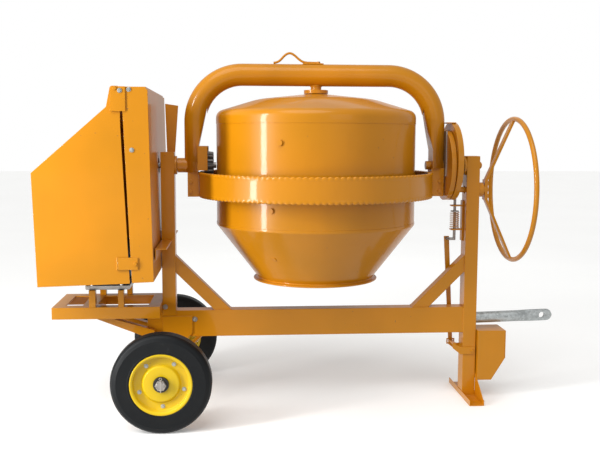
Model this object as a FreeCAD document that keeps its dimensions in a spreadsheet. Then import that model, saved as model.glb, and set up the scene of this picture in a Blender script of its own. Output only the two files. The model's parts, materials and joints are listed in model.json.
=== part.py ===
import FreeCAD, Part
import Sketcher
import math
import os
import re

# A towable concrete mixer: a drum hangs in a tilting yoke between two posts.
# Frame: +X runs from the engine to the towbar, +Z is up, the origin is the centre
# of the foot's sole under the right post.  Every length is in millimetres.

doc = FreeCAD.newDocument("ConcreteMixer")
sheet = doc.addObject("Spreadsheet::Sheet", "Sizes")

SIZES = {
    # frame
    "post_spacing": 1610, "post_width": 70, "post_depth": 90, "tube_wall": 5,
    "left_post_top_rise": 69, "right_post_top_rise": 50, "saddle_drop": 25,
    "beam_bottom": 355, "beam_height": 140, "beam_width": 80, "beam_overhang": 80,
    "brace_width": 64, "right_brace_rise": 190, "left_brace_rise": 200,
    "foot_length": 430, "foot_wall": 4, "foot_lip": 30, "foot_gusset": 100,
    # running gear
    "axle_height": 240, "axle_setback": 5, "wheel_track": 960, "axle_diameter": 36,
    "crossbar_size": 60, "crossbar_length": 800, "tyre_width": 108, "tyre_seat": 137,
    "rim_flange": 12, "rim_half_width": 50, "rim_sheet": 4, "hub_diameter": 74, "hub_length": 90,
    "wheel_bolt_circle": 111, "bracket_plate": 8, "stay_diameter": 20,
    # towbar and tool box
    "towbar_diameter": 60, "towbar_height": 427, "towbar_tilt": 1.6, "towbar_reach": 467,
    "towbar_inside": 260, "tow_eye": 34, "tow_eye_reach": 411, "towbar_flat": 120,
    "toolbox_length": 153, "toolbox_width": 150, "toolbox_bottom": 99, "toolbox_top": 370,
    "toolbox_chamfer": 115, "sheet_wall": 3,
    # tilting yoke
    "tilt_axis_height": 1257, "right_leg_gap": 117.85, "left_leg_gap": 51.85,
    "yoke_diameter": 114.3, "yoke_top_rise": 468, "yoke_bend": 245,
    "left_leg_end_rise": -36, "right_leg_end_rise": -14, "leg_taper_top_rise": 303, "leg_taper_bottom_rise": 83,
    "leg_foot_width": 70, "trunnion_diameter": 76, "journal_diameter": 60, "bush_wall": 6,
    "bearing_flange": 96, "bearing_flange_thickness": 12, "running_clearance": 0.08,
    "flange_disc_diameter": 370, "flange_disc_thickness": 25,
    "spindle_diameter": 40, "spindle_stub": 55, "spindle_flange": 126,
    # drum
    "drum_radius": 521.5, "drum_wall": 4, "drum_seam_top_rise": 225, "drum_seam_low_rise": -292,
    "drum_dome_edge": 470, "drum_dome_shoulder_rise": 288,
    "drum_dome_knee": 310, "drum_dome_knee_height_rise": 341, "drum_top_rise": 369, "drum_neck": 297,
    "drum_neck_height_rise": -581, "mouth_radius": 328, "mouth_height_rise": -599,
    "hub_height": 80, "hub_width": 120,
    # drive
    "ring_pitch_radius": 582, "ring_face": 46, "ring_depth": 34, "ring_teeth": 136,
    "pinion_teeth": 16, "drive_shaft_diameter": 30, "carrier_thickness": 10,
    "pulley_plane_gap": 55, "pulley_width": 42, "large_pulley_radius": 275,
    "motor_pulley_radius": 50, "belt_height": 10, "belt_width": 13, "motor_axis_height": 772,
    "motor_radius": 100, "motor_length": 300, "motor_right_gap": 155,
    # ring guard
    "guard_radius": 613, "guard_bottom_rise": -164, "guard_top_rise": -32, "guard_lip": 21,
    "guard_notches": 60, "guard_notch_radius": 9,
    # tilting gear, handwheel and lock
    "tilt_teeth": 39, "handwheel_teeth": 13, "tilt_module": 5, "tilt_gear_width": 20,
    "tilt_gear_left": 120, "cover_radius": 206, "cover_rise": 21, "cover_left": 125, "cover_back": 95,
    "handwheel_shaft_diameter": 30, "handwheel_radius": 390, "handwheel_tube": 26,
    "handwheel_plane": 225, "handwheel_hub_plane": 78, "spoke_width": 38, "spoke_thickness": 8,
    "sleeve_diameter": 78, "sleeve_length": 27,
    "lock_disc_radius": 108, "lock_disc_thickness": 12, "lock_plane": 78, "lock_offset": 28,
    "lock_pin_diameter": 15, "lock_travel": 22, "lock_arm_height": 858, "tilt_limit": 150,
    "spring_radius": 20, "spring_wire": 4, "spring_turns": 8,
    "pedal_height": 256, "pedal_thickness": 6, "pedal_bar": 40, "pedal_reach": 78,
    # engine table and cabin
    "table_length": 540, "table_width": 380, "table_top": 547, "rail_size": 60, "rail_wall": 6,
    "base_bottom": 634, "base_thickness": 20, "base_left_gap": 374, "base_length": 221,
    "cabin_depth": 892, "guard_depth": 900, "cabin_bottom": 705, "cabin_left_gap": 560,
    "cabin_eaves": 1235, "cabin_ridge": 1568, "cabin_ridge_place_gap": 180, "cabin_ridge_end_gap": 151, "cabin_right_gap": 115,
    "guard_left_gap": 105, "guard_left_top_gap": 138, "guard_right_top_gap": 18, "guard_crown": 1624,
    "hinge_place_gap": 168, "hinge_height": 1626, "hinge_pin": 16,
    "shelf_height": 871, "shelf_reach": 400, "shelf_size": 55,
}

# Names for sizes that follow from the driving ones.
WORKED_OUT = {
    "yoke_top": "tilt_axis_height + yoke_top_rise",
    "left_leg_end": "tilt_axis_height + left_leg_end_rise",
    "right_leg_end": "tilt_axis_height + right_leg_end_rise",
    "leg_taper_top": "tilt_axis_height + leg_taper_top_rise",
    "leg_taper_bottom": "tilt_axis_height + leg_taper_bottom_rise",
    "drum_seam_top": "tilt_axis_height + drum_seam_top_rise",
    "drum_seam_low": "tilt_axis_height + drum_seam_low_rise",
    "drum_dome_shoulder": "tilt_axis_height + drum_dome_shoulder_rise",
    "drum_top": "tilt_axis_height + drum_top_rise",
    "drum_dome_knee_height": "tilt_axis_height + drum_dome_knee_height_rise",
    "drum_neck_height": "tilt_axis_height + drum_neck_height_rise",
    "mouth_height": "tilt_axis_height + mouth_height_rise",
    "guard_bottom": "tilt_axis_height + guard_bottom_rise",
    "guard_top": "tilt_axis_height + guard_top_rise",
    "left_post_top": "tilt_axis_height + left_post_top_rise",
    "right_post_top": "tilt_axis_height + right_post_top_rise",
    "pulley_plane": "-left_post_outer + pulley_plane_gap",
    "motor_right": "-left_post_outer + motor_right_gap",
    "base_left": "-left_post_outer + base_left_gap",
    "cabin_left": "-left_post_outer + cabin_left_gap",
    "cabin_ridge_place": "-left_post_outer + cabin_ridge_place_gap",
    "cabin_right": "-left_post_outer + cabin_right_gap",
    "cabin_ridge_end": "-left_post_outer + cabin_ridge_end_gap",
    "guard_left": "-left_post_outer + guard_left_gap",
    "guard_left_top": "-left_post_outer + guard_left_top_gap",
    "guard_right_top": "-left_post_outer + guard_right_top_gap",
    "hinge_place": "-left_post_outer + hinge_place_gap",
    "yoke_reach": "(post_spacing - post_width - left_leg_gap - right_leg_gap)/2",
    "yoke_half_span": "yoke_reach - yoke_radius",
    "drum_offset": "post_half + right_leg_gap + yoke_reach",
    "post_half": "post_width/2",
    "post_face": "post_depth/2",
    "left_post_place": "-post_spacing",
    "left_post_outer": "left_post_place - post_half",
    "left_post_inner": "left_post_place + post_half",
    "beam_top": "beam_bottom + beam_height",
    "beam_side": "beam_width/2",
    "beam_left": "left_post_outer - beam_overhang",
    "axle_place": "left_post_place - axle_setback",
    "axle_radius": "axle_diameter/2",
    "wheel_plane": "wheel_track/2",
    "tyre_radius": "axle_height",
    "drum_place": "-drum_offset",
    "left_leg_place": "drum_place - yoke_half_span",
    "right_leg_place": "drum_place + yoke_half_span",
    "yoke_radius": "yoke_diameter/2",
    "left_leg_outer": "left_leg_place - yoke_radius",
    "right_leg_outer": "right_leg_place + yoke_radius",
    "yoke_underside": "yoke_top - yoke_radius",
    "journal_radius": "journal_diameter/2",
    "bush_radius": "journal_radius + bush_wall",
    "pinion_pitch_radius": "ring_pitch_radius*pinion_teeth/ring_teeth",
    "ring_pitch_height": "tilt_axis_height - pinion_pitch_radius",
    "ring_inner_radius": "ring_pitch_radius - ring_face",
    "bevel_module": "2*ring_pitch_radius/ring_teeth",
    "gear_base": "ring_pitch_height - ring_depth",
    "tilt_radius": "tilt_module*tilt_teeth/2",
    "handwheel_pitch": "tilt_module*handwheel_teeth/2",
    "handwheel_axis": "tilt_axis_height - tilt_radius - handwheel_pitch",
    "cover_axis": "tilt_axis_height + cover_rise",
    "cover_right": "-cover_back",
    "shaft_radius": "handwheel_shaft_diameter/2",
    "pin_radius": "lock_pin_diameter/2",
    "pin_top": "tilt_axis_height - lock_disc_radius - 1",
    "table_left": "left_post_outer - table_length",
    "table_side": "table_width/2",
    "motor_left": "-motor_right - motor_length",
    "base_top": "base_bottom + base_thickness",
    "guard_right_foot": "-left_post_outer + 3",
    "toolbox_left": "post_half + foot_wall",
    "toolbox_right": "post_half + toolbox_length",
    "toolbox_side": "toolbox_width/2",
    "drive_radius": "drive_shaft_diameter/2",
}

for row, (alias, value) in enumerate(SIZES.items(), start=1):
    sheet.set(f"A{row}", alias)
    sheet.set(f"B{row}", str(value))
    sheet.setAlias(f"B{row}", alias)
doc.recompute()

WORD = re.compile(r"[a-z]+(?:_[a-z]+)+")
PIECES = []


def written_out(text, prefix=""):
    """A size expression in terms of the sheet's cells alone."""
    def swap(match):
        name = match.group(0)
        if name in WORKED_OUT:
            return "(" + written_out(WORKED_OUT[name], prefix) + ")"
        return prefix + name
    return WORD.sub(swap, str(text))


def size(text):
    """The present value of a size expression, as a number."""
    return float(sheet.evalExpression(written_out(text)))


def bind(thing, setting, text):
    thing.setExpression(setting, written_out(text, "Sizes."))


def bind_place(thing, x=0, y=0, z=0):
    bind(thing, "Placement.Base.x", x)
    bind(thing, "Placement.Base.y", y)
    bind(thing, "Placement.Base.z", z)


def piece(label, thing):
    """Name a finished sub-part; its label is its file's name."""
    thing.Label = label
    PIECES.append(thing)
    return thing


# ---- plain building blocks, bound to the sheet ----

TURNED = {
    "X": FreeCAD.Rotation(FreeCAD.Vector(0, 1, 0), 90),
    "Y": FreeCAD.Rotation(FreeCAD.Vector(1, 0, 0), -90),
    "Z": FreeCAD.Rotation(),
}


def box(x, y, z):
    """A block between two expressions along each axis."""
    block = doc.addObject("Part::Box", "Block")
    for setting, span in (("Length", x), ("Width", y), ("Height", z)):
        bind(block, setting, f"({span[1]}) - ({span[0]})")
    bind_place(block, x[0], y[0], z[0])
    return block


def both_sides(half):
    return (f"-({half})", f"({half})")


def rod(radius, axis, span, across):
    """A cylinder along an axis; across gives its two other coordinates in order."""
    bar = doc.addObject("Part::Cylinder", "Rod")
    bar.Placement = FreeCAD.Placement(FreeCAD.Vector(), TURNED[axis])
    bind(bar, "Radius", radius)
    bind(bar, "Height", f"({span[1]}) - ({span[0]})")
    where = list(across)
    where.insert("XYZ".index(axis), span[0])
    bind_place(bar, *where)
    return bar


def fuse(*things):
    joined = doc.addObject("Part::MultiFuse", "Joined")
    joined.Shapes = list(things)
    return joined


def cut(base, *tools):
    left = doc.addObject("Part::Cut", "Cut")
    left.Base = base
    left.Tool = tools[0] if len(tools) == 1 else fuse(*tools)
    return left


def common(base, tool):
    shared = doc.addObject("Part::Common", "Common")
    shared.Base = base
    shared.Tool = tool
    return shared


def square_tube(x, y, z, along, wall="tube_wall"):
    """A hollow bar, open at both ends along one axis."""
    spans = {"X": x, "Y": y, "Z": z}
    inner = {axis: (f"{lo} + {wall}", f"{hi} - {wall}") for axis, (lo, hi) in spans.items()}
    inner[along] = (f"{spans[along][0]} - 1", f"{spans[along][1]} + 1")
    return cut(box(x, y, z), box(inner["X"], inner["Y"], inner["Z"]))


def tube(outer, inner, axis, span, across):
    core = rod(inner, axis, (f"{span[0]} - 1", f"{span[1]} + 1"), across)
    return cut(rod(outer, axis, span, across), core)


def free_shape(shape):
    """A piece whose form needs Part's own functions, such as gear teeth."""
    thing = doc.addObject("Part::Feature", "Shape")
    thing.Shape = shape
    return thing


# ---- sketches whose corners are bound to the sheet ----

def add_outline(sketch, corners):
    """A closed outline; a corner is (across, up) or (across, up, radius) in expressions."""
    places = [FreeCAD.Vector(size(c[0]), size(c[1]), 0) for c in corners]
    radii = [size(c[2]) if len(c) > 2 else 0.0 for c in corners]
    count = len(corners)
    starts = []
    ends = []
    arcs = {}
    for i, place in enumerate(places):
        before = (places[i - 1] - place).normalize()
        after = (places[(i + 1) % count] - place).normalize()
        if not radii[i]:
            ends.append(place)
            starts.append(place)
            continue
        half = before.getAngle(after) / 2
        ends.append(place + before * (radii[i] / math.tan(half)))
        starts.append(place + after * (radii[i] / math.tan(half)))
        centre = place + (before + after).normalize() * (radii[i] / math.sin(half))
        arcs[i] = centre
    lines = []
    for i in range(count):
        line = Part.LineSegment(starts[i], ends[(i + 1) % count])
        lines.append(sketch.addGeometry(line, False))
    for i, corner in enumerate(corners):
        before = lines[i - 1]
        after = lines[i]
        if i not in arcs:
            sketch.addConstraint(Sketcher.Constraint("Coincident", before, 2, after, 1))
            fix_point(sketch, after, 1, corner, places[i])
            continue
        low = math.atan2(ends[i].y - arcs[i].y, ends[i].x - arcs[i].x)
        high = math.atan2(starts[i].y - arcs[i].y, starts[i].x - arcs[i].x)
        turn = (high - low + math.pi) % (2 * math.pi) - math.pi
        circle = Part.Circle(arcs[i], FreeCAD.Vector(0, 0, 1), radii[i])
        first, last = (1, 2) if turn > 0 else (2, 1)
        bounds = (low, low + turn) if turn > 0 else (high, high - turn)
        arc = sketch.addGeometry(Part.ArcOfCircle(circle, *bounds), False)
        sketch.addConstraint(Sketcher.Constraint("Tangent", before, 2, arc, first))
        sketch.addConstraint(Sketcher.Constraint("Tangent", arc, last, after, 1))
        rule = sketch.addConstraint(Sketcher.Constraint("Radius", arc, radii[i]))
        bind(sketch, f"Constraints[{rule}]", corner[2])
        point = sketch.addGeometry(Part.Point(places[i]), True)
        sketch.addConstraint(Sketcher.Constraint("PointOnObject", point, 1, before))
        sketch.addConstraint(Sketcher.Constraint("PointOnObject", point, 1, after))
        fix_point(sketch, point, 1, corner, places[i])


def fix_point(sketch, geometry, end, corner, place):
    """Hold one point of a sketch at its two bound coordinates."""
    for kind, value, text in (("DistanceX", place.x, corner[0]), ("DistanceY", place.y, corner[1])):
        rule = sketch.addConstraint(Sketcher.Constraint(kind, -1, 1, geometry, end, value))
        bind(sketch, f"Constraints[{rule}]", text)


def sketch_on(body, plane, name, corners, offset=None):
    sketch = body.newObject("Sketcher::SketchObject", name)
    origin = [part for part in body.Origin.OriginFeatures if part.Role == plane][0]
    sketch.AttachmentSupport = [(origin, "")]
    sketch.MapMode = "FlatFace"
    if offset is not None:
        bind(sketch, "AttachmentOffset.Base.z", offset)
    add_outline(sketch, corners)
    return sketch


def plate(plane, corners, span):
    """A padded outline: XZ plates are thick along Y, YZ along X, XY along Z."""
    body = doc.addObject("PartDesign::Body", "Plate")
    start = f"-({span[1]})" if plane == "XZ" else span[0]
    outline = sketch_on(body, plane + "_Plane", "Outline", corners, start)
    pad = body.newObject("PartDesign::Pad", "Pad")
    pad.Profile = outline
    bind(pad, "Length", f"({span[1]}) - ({span[0]})")
    return body


def turned(corners, x=0, y=0, z=0, axis="Z"):
    """A solid of revolution from a (radius, along) outline."""
    body = doc.addObject("PartDesign::Body", "Turned")
    outline = sketch_on(body, "XZ_Plane", "Profile", corners)
    spin = body.newObject("PartDesign::Revolution", "Spin")
    spin.Profile = outline
    spin.ReferenceAxis = (outline, ["V_Axis"])
    spin.Angle = 360
    body.Placement = FreeCAD.Placement(FreeCAD.Vector(), TURNED[axis])
    bind_place(body, x, y, z)
    return body


def bent_rod(points, radius, bend):
    """A round bar along straight runs joined by tangent arcs, at fixed points."""
    path = [FreeCAD.Vector(*(size(value) for value in point)) for point in points]
    edges = []
    start = path[0]
    for i in range(1, len(path) - 1):
        before = (path[i - 1] - path[i]).normalize()
        after = (path[i + 1] - path[i]).normalize()
        half = before.getAngle(after) / 2
        reach = bend / math.tan(half)
        one = path[i] + before * reach
        two = path[i] + after * reach
        centre = path[i] + (before + after).normalize() * (bend / math.sin(half))
        middle = centre + (path[i] - centre).normalize() * bend
        edges.append(Part.LineSegment(start, one).toShape())
        edges.append(Part.Arc(one, middle, two).toShape())
        start = two
    edges.append(Part.LineSegment(start, path[-1]).toShape())
    wire = Part.Wire(edges)
    circle = Part.Circle(path[0], path[1] - path[0], radius)
    section = Part.Wire([circle.toShape()])
    return wire.makePipeShell([section], True, True)


def mirrored_y(shape):
    return shape.mirror(FreeCAD.Vector(), FreeCAD.Vector(0, 1, 0))


# ---- frame: beam, posts, braces, foot ----

def post(place, bottom, top):
    """A hollow post, closed on top with a cap plate."""
    spans = (f"{place} - post_half", f"{place} + post_half")
    inner = (f"{spans[0]} + tube_wall", f"{spans[1]} - tube_wall")
    hollow = box(inner, both_sides("post_face - tube_wall"), (f"{bottom} - 1", f"{top} - tube_wall"))
    return cut(box(spans, both_sides("post_face"), (bottom, top)), hollow)


def build_frame():
    beam_spans = (("beam_left", "-post_half"), both_sides("beam_side"), ("beam_bottom", "beam_top"))
    towbar_hole = tilted_rod("towbar_diameter/2 + 0.3", "-post_half - 20", 120)
    piece("main_beam", square_tube(*beam_spans, "X"))

    saddle = box(("left_post_outer - 1", "left_post_inner + 1"), both_sides("beam_side"),
                 ("beam_top - saddle_drop - 1", "beam_top"))
    bush_hole = rod("bush_radius", "X", ("left_post_outer - 1", "left_post_inner + 1"),
                    (0, "tilt_axis_height"))
    left = post("left_post_place", "beam_top - saddle_drop", "left_post_top")
    piece("left_post", cut(left, saddle, bush_hole))

    bush_hole = rod("bush_radius", "X", ("-post_half - 1", "post_half + 1"), (0, "tilt_axis_height"))
    shaft_hole = rod("shaft_radius + 5", "X", ("-post_half - 1", "post_half + 1"),
                     (0, "handwheel_axis"))
    pedal_hole = rod("8", "Y", ("-post_face - 1", "post_face + 1"), (15, "pedal_height"))
    right = post("0", "foot_wall", "right_post_top")
    piece("right_post", cut(right, bush_hole, shaft_hole, towbar_hole, pedal_hole))

    for label, foot, side, rise in (
        ("right_brace", "-post_half", -1, "right_brace_rise"),
        ("left_brace", "left_post_inner", 1, "left_brace_rise"),
    ):
        piece(label, brace(foot, side, rise))

    # The foot is a shallow channel with gussets that brace the leg on its right side.
    half = "post_half + foot_wall"
    sole = box(both_sides(half), both_sides("foot_length/2"), (0, "foot_lip"))
    channel = box(both_sides("post_half"), both_sides("foot_length/2 + 1"),
                  ("foot_wall", "foot_lip + 1"))
    gussets = []
    for side in (-1, 1):
        near_end = f"{side}*(foot_length/2 - 15)"
        corners = [(f"{side}*post_face", "foot_lip"), (near_end, "foot_lip"),
                   (f"{side}*post_face", "foot_lip + foot_gusset")]
        gussets.append(plate("YZ", corners, ("post_half", half)))
    piece("foot_plate", fuse(cut(sole, channel), *gussets))


def brace(foot, side, rise):
    """A hollow diagonal from a post's face down to the top of the beam."""
    def outline(wall):
        skin = f"1.4142*({wall})"
        near = f"({rise} + {skin})"
        far = f"({rise} + 1.4142*brace_width - {skin})"
        past = f"{foot} - {side}*1" if wall != "0" else foot
        under = "beam_top - 1" if wall != "0" else "beam_top"
        extra = "1" if wall != "0" else "0"
        return [(past, f"beam_top + {near} + {extra}"), (past, f"beam_top + {far} + {extra}"),
                (f"{foot} + {side}*({far} + {extra})", under),
                (f"{foot} + {side}*({near} + {extra})", under)]
    outer = plate("XZ", outline("0"), both_sides("brace_width/2"))
    inner = plate("XZ", outline("tube_wall"), both_sides("brace_width/2 - tube_wall"))
    return cut(outer, inner)


# ---- towbar, tool box ----

def tilted_rod(radius, start, length):
    """A round bar on the towbar's slightly rising axis."""
    bar = doc.addObject("Part::Cylinder", "Rod")
    bar.Placement = FreeCAD.Placement(FreeCAD.Vector(), FreeCAD.Rotation(FreeCAD.Vector(0, 1, 0), 88))
    bind(bar, "Radius", radius)
    bind(bar, "Height", length)
    bind(bar, "Placement.Rotation.Angle", "90 - towbar_tilt")
    bind_place(bar, start, 0, f"towbar_height + ({start})*tan(towbar_tilt)")
    return bar


def build_towbar():
    whole = "towbar_inside + towbar_reach"
    bar = tilted_rod("towbar_diameter/2", "-towbar_inside", whole)
    bore = tilted_rod("towbar_diameter/2 - tube_wall", "-towbar_inside - 1",
                      f"{whole} - towbar_flat")
    rise = "towbar_height + towbar_reach*tan(towbar_tilt)"
    # The free end is pressed flat and drilled across for the coupling pin.
    flats = []
    for side in (-1, 1):
        near = f"{side}*13" if side > 0 else "-60"
        far = "60" if side > 0 else "-13"
        flats.append(box(("towbar_reach - towbar_flat", "towbar_reach + 5"), (near, far),
                         (f"{rise} - 60", f"{rise} + 60")))
    eye = rod("tow_eye/2", "Y", ("-40", "40"),
              ("tow_eye_reach", "towbar_height + tow_eye_reach*tan(towbar_tilt)"))
    tip = "towbar_reach - 33"
    rounded = fuse(box(("-towbar_inside - 5", tip), both_sides("60"), ("towbar_height - 90", "towbar_height + 90")),
                   rod("33", "Y", both_sides("60"), (tip, f"towbar_height + ({tip})*tan(towbar_tilt)")))
    piece("towbar", common(cut(bar, bore, eye, *flats), rounded))


def toolbox_outline(skin):
    low = f"toolbox_bottom + {skin}"
    right = f"toolbox_right - {skin}"
    slope = f"0.4142*({skin})"
    return [(f"toolbox_left + {skin}", f"toolbox_top - {skin}"), (f"toolbox_left + {skin}", low),
            (f"toolbox_right - toolbox_chamfer*0.62 - {slope}", low),
            (right, f"toolbox_bottom + toolbox_chamfer + {slope}"), (right, f"toolbox_top - {skin}")]


def build_toolbox():
    skin = "sheet_wall"
    outer = plate("XZ", toolbox_outline("0"), both_sides("toolbox_side"))
    inner = plate("XZ", toolbox_outline(skin), both_sides(f"toolbox_side - {skin}"))
    opening = box((f"toolbox_right - {skin} - 1", "toolbox_right + 1"), both_sides("toolbox_side - 12"),
                  ("toolbox_bottom + toolbox_chamfer + 12", "toolbox_top - 12"))
    pads = [box(("post_half", "toolbox_left"), both_sides("22"), (f"toolbox_top - {drop}", f"toolbox_top - {drop} + 22"))
            for drop in (60, 200)]
    piece("toolbox", fuse(cut(outer, inner, opening), *pads))
    door = box(("toolbox_right + 0.5", "toolbox_right + 0.5 + sheet_wall"), both_sides("toolbox_side"),
               ("toolbox_bottom + toolbox_chamfer + 2", "toolbox_top - 1"))
    knob = rod("9", "X", ("toolbox_right + 0.5 + sheet_wall", "toolbox_right + 20"),
               (0, "toolbox_bottom + toolbox_chamfer + 24"))
    piece("toolbox_door", fuse(door, knob))


# ---- axle and wheels ----

def build_axle():
    half = "crossbar_size/2"
    bar = square_tube((f"axle_place - {half}", f"axle_place + {half}"), both_sides("crossbar_length/2"),
                      (f"axle_height - {half}", f"axle_height + {half}"), "Y")
    piece("axle_crossbar", bar)
    top = f"axle_height + {half}"
    corners = [(f"axle_place - {half}", top), (f"axle_place + {half}", top),
               ("axle_place + 125", "beam_bottom + 20"), ("axle_place + 125", "beam_top - 29"),
               (f"axle_place - {half}", "beam_top - 29")]
    near = plate("XZ", corners, ("-beam_side - bracket_plate", "-beam_side"))
    far = plate("XZ", corners, ("beam_side", "beam_side + bracket_plate"))
    foot = FreeCAD.Vector(size("axle_place"), size("-crossbar_length/2 + 25"), size(top))
    head = FreeCAD.Vector(size("axle_place + 165"), size("-beam_side + 16"), size("beam_bottom"))
    run = head - foot
    reach = Part.makeCylinder(size("stay_diameter/2"), run.Length + 80, foot - run.normalize() * 40, run)
    lane = Part.makeBox(600, 900, head.z - foot.z, FreeCAD.Vector(foot.x - 300, -450, foot.z))
    stay = reach.common(lane)
    stays = free_shape(Part.makeCompound([stay, mirrored_y(stay)]))
    piece("axle_brackets", fuse(near, far, stays))
    outer_end = "wheel_plane + hub_length/2 + 20"
    inner_end = "wheel_plane + hub_length/2 + 2"
    shaft = rod("axle_radius", "Y", both_sides(outer_end), ("axle_place", "axle_height"))
    nuts = [hex_prism("axle_radius + 9", f"-({outer_end}) + 3", f"-({inner_end})"),
            hex_prism("axle_radius + 9", inner_end, f"{outer_end} - 3")]
    piece("axle_shaft", fuse(shaft, *nuts))


def hex_prism(radius, start, end):
    """A castle nut's body on the axle, six-sided."""
    nut = doc.addObject("Part::Prism", "Nut")
    nut.Polygon = 6
    nut.Placement = FreeCAD.Placement(FreeCAD.Vector(), TURNED["Y"])
    bind(nut, "Circumradius", radius)
    bind(nut, "Height", f"({end}) - ({start})")
    bind_place(nut, "axle_place", start, "axle_height")
    return nut


def build_wheel(name, side):
    """One wheel: solid tyre, pressed rim with its bolts, and a bushed hub."""
    centre = {"x": "axle_place", "y": f"{side}*wheel_plane", "z": "axle_height", "axis": "Y"}
    flange = "tyre_seat + rim_flange"
    seat = "rim_half_width - rim_sheet"
    wide = "tyre_width/2"
    tyre = [("tyre_seat", f"-({seat})"), (flange, f"-({seat})"), (f"{flange} + 1", f"-({seat}) - 4"),
            ("tyre_radius - 25", f"-({wide})", 14), ("tyre_radius", f"-({wide}) + 20", 10),
            ("tyre_radius", f"{wide} - 20", 10), ("tyre_radius - 25", wide, 14),
            (f"{flange} + 1", f"{seat} + 4"), (flange, seat), ("tyre_seat", seat)]
    piece(f"{name}_tyre", turned(tyre, **centre))
    # The rim's disc sits toward the outside and steps out again round the hub.
    out = side
    barrel = "tyre_seat - rim_sheet"
    deep = f"{out}*14"
    proud = f"{out}*30"
    thick = f"{out}*rim_sheet"
    ends = "rim_half_width"
    hub = "hub_diameter/2"
    section = [("tyre_seat", f"-({seat})*{out}"), (flange, f"-({seat})*{out}"), (flange, f"-({ends})*{out}"),
               (barrel, f"-({ends})*{out}"), (barrel, deep), ("90", deep), ("82", proud),
               (hub, proud), (hub, f"{proud} + {thick}"), ("84", f"{proud} + {thick}"),
               ("92", f"{deep} + {thick}"), (barrel, f"{deep} + {thick}"), (barrel, f"({ends})*{out}"),
               (flange, f"({ends})*{out}"), (flange, f"({seat})*{out}"), ("tyre_seat", f"({seat})*{out}")]
    disc = turned(section, **centre)
    bolts = []
    face = sorted((14 + size("rim_sheet"), 14 + size("rim_sheet") + 9))
    span = face if side > 0 else [-face[1], -face[0]]
    for turn in range(5):
        angle = 57 + 72 * turn
        across = (f"axle_place + wheel_bolt_circle*cos({angle})", f"axle_height + wheel_bolt_circle*sin({angle})")
        place = [f"{side}*wheel_plane + {value}" for value in span]
        bolts.append(rod("10", "Y", place, across))
    piece(f"{name}_rim", fuse(disc, *bolts))
    middle = f"{side}*wheel_plane"
    piece(f"{name}_hub", tube(hub, "axle_radius + running_clearance", "Y",
                              (f"{middle} - hub_length/2", f"{middle} + hub_length/2"),
                              ("axle_place", "axle_height")))


# ---- engine table, base, cabin ----

def build_engine_table():
    right = "left_post_outer"
    lane = both_sides("table_side")
    low = "table_top - rail_size"
    rails = []
    for y in (("-table_side", "-table_side + rail_size"), ("table_side - rail_size", "table_side")):
        rails.append(box(("table_left", right), y, ("table_top - rail_wall", "table_top")))
    for y in (("-table_side", "-table_side + rail_wall"), ("table_side - rail_wall", "table_side")):
        rails.append(box(("table_left", right), y, (low, "table_top")))
    rails.append(box(("table_left", "table_left + rail_size"), lane, ("table_top - rail_wall", "table_top")))
    rails.append(box(("table_left", "table_left + rail_wall"), lane, (low, "table_top")))
    rails.append(box((f"{right} - rail_size", right), lane, ("beam_top", "table_top")))
    cross = (f"{right} - 395", f"{right} - 325")
    rails.append(box(cross, lane, (low, "table_top")))
    # Two struts carry the table's middle from the end of the beam.
    corners = [(f"{right} - 395", low), (f"{right} - 325", low),
               ("beam_left + 40", "beam_bottom + 45"), ("beam_left + 40", "beam_bottom + 8"),
               ("beam_left", "beam_bottom + 8")]
    for y in (("-beam_side - 42", "-beam_side"), ("beam_side", "beam_side + 42")):
        rails.append(plate("XZ", corners, y))
    piece("engine_table", fuse(*rails))

    pieces = [box(("-base_left", "base_length - base_left"), both_sides("table_side - 20"),
                  ("base_bottom", "base_top"))]
    for left, width in (("-base_left + 20", 33), ("-base_left + 165", 29)):
        for y in (("-table_side", "-table_side + 34"), ("table_side - 34", "table_side")):
            pieces.append(box((left, f"{left} + {width}"), y, ("table_top", "base_bottom")))
    piece("engine_base", fuse(*pieces))


def cabin_outline(skin):
    """The hood's side: upright back, long slope, slightly leaning front edge."""
    return [(f"-cabin_left + {skin} + 15", "cabin_bottom - 6"), (f"-cabin_left + {skin}", f"cabin_eaves - {skin}"),
            (f"-cabin_ridge_place + 0.3*({skin})", f"cabin_ridge - 1.3*({skin})"),
            ("-cabin_ridge_end", f"cabin_ridge - 1.3*({skin})"), ("-cabin_right", "cabin_bottom + 7")]


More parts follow.
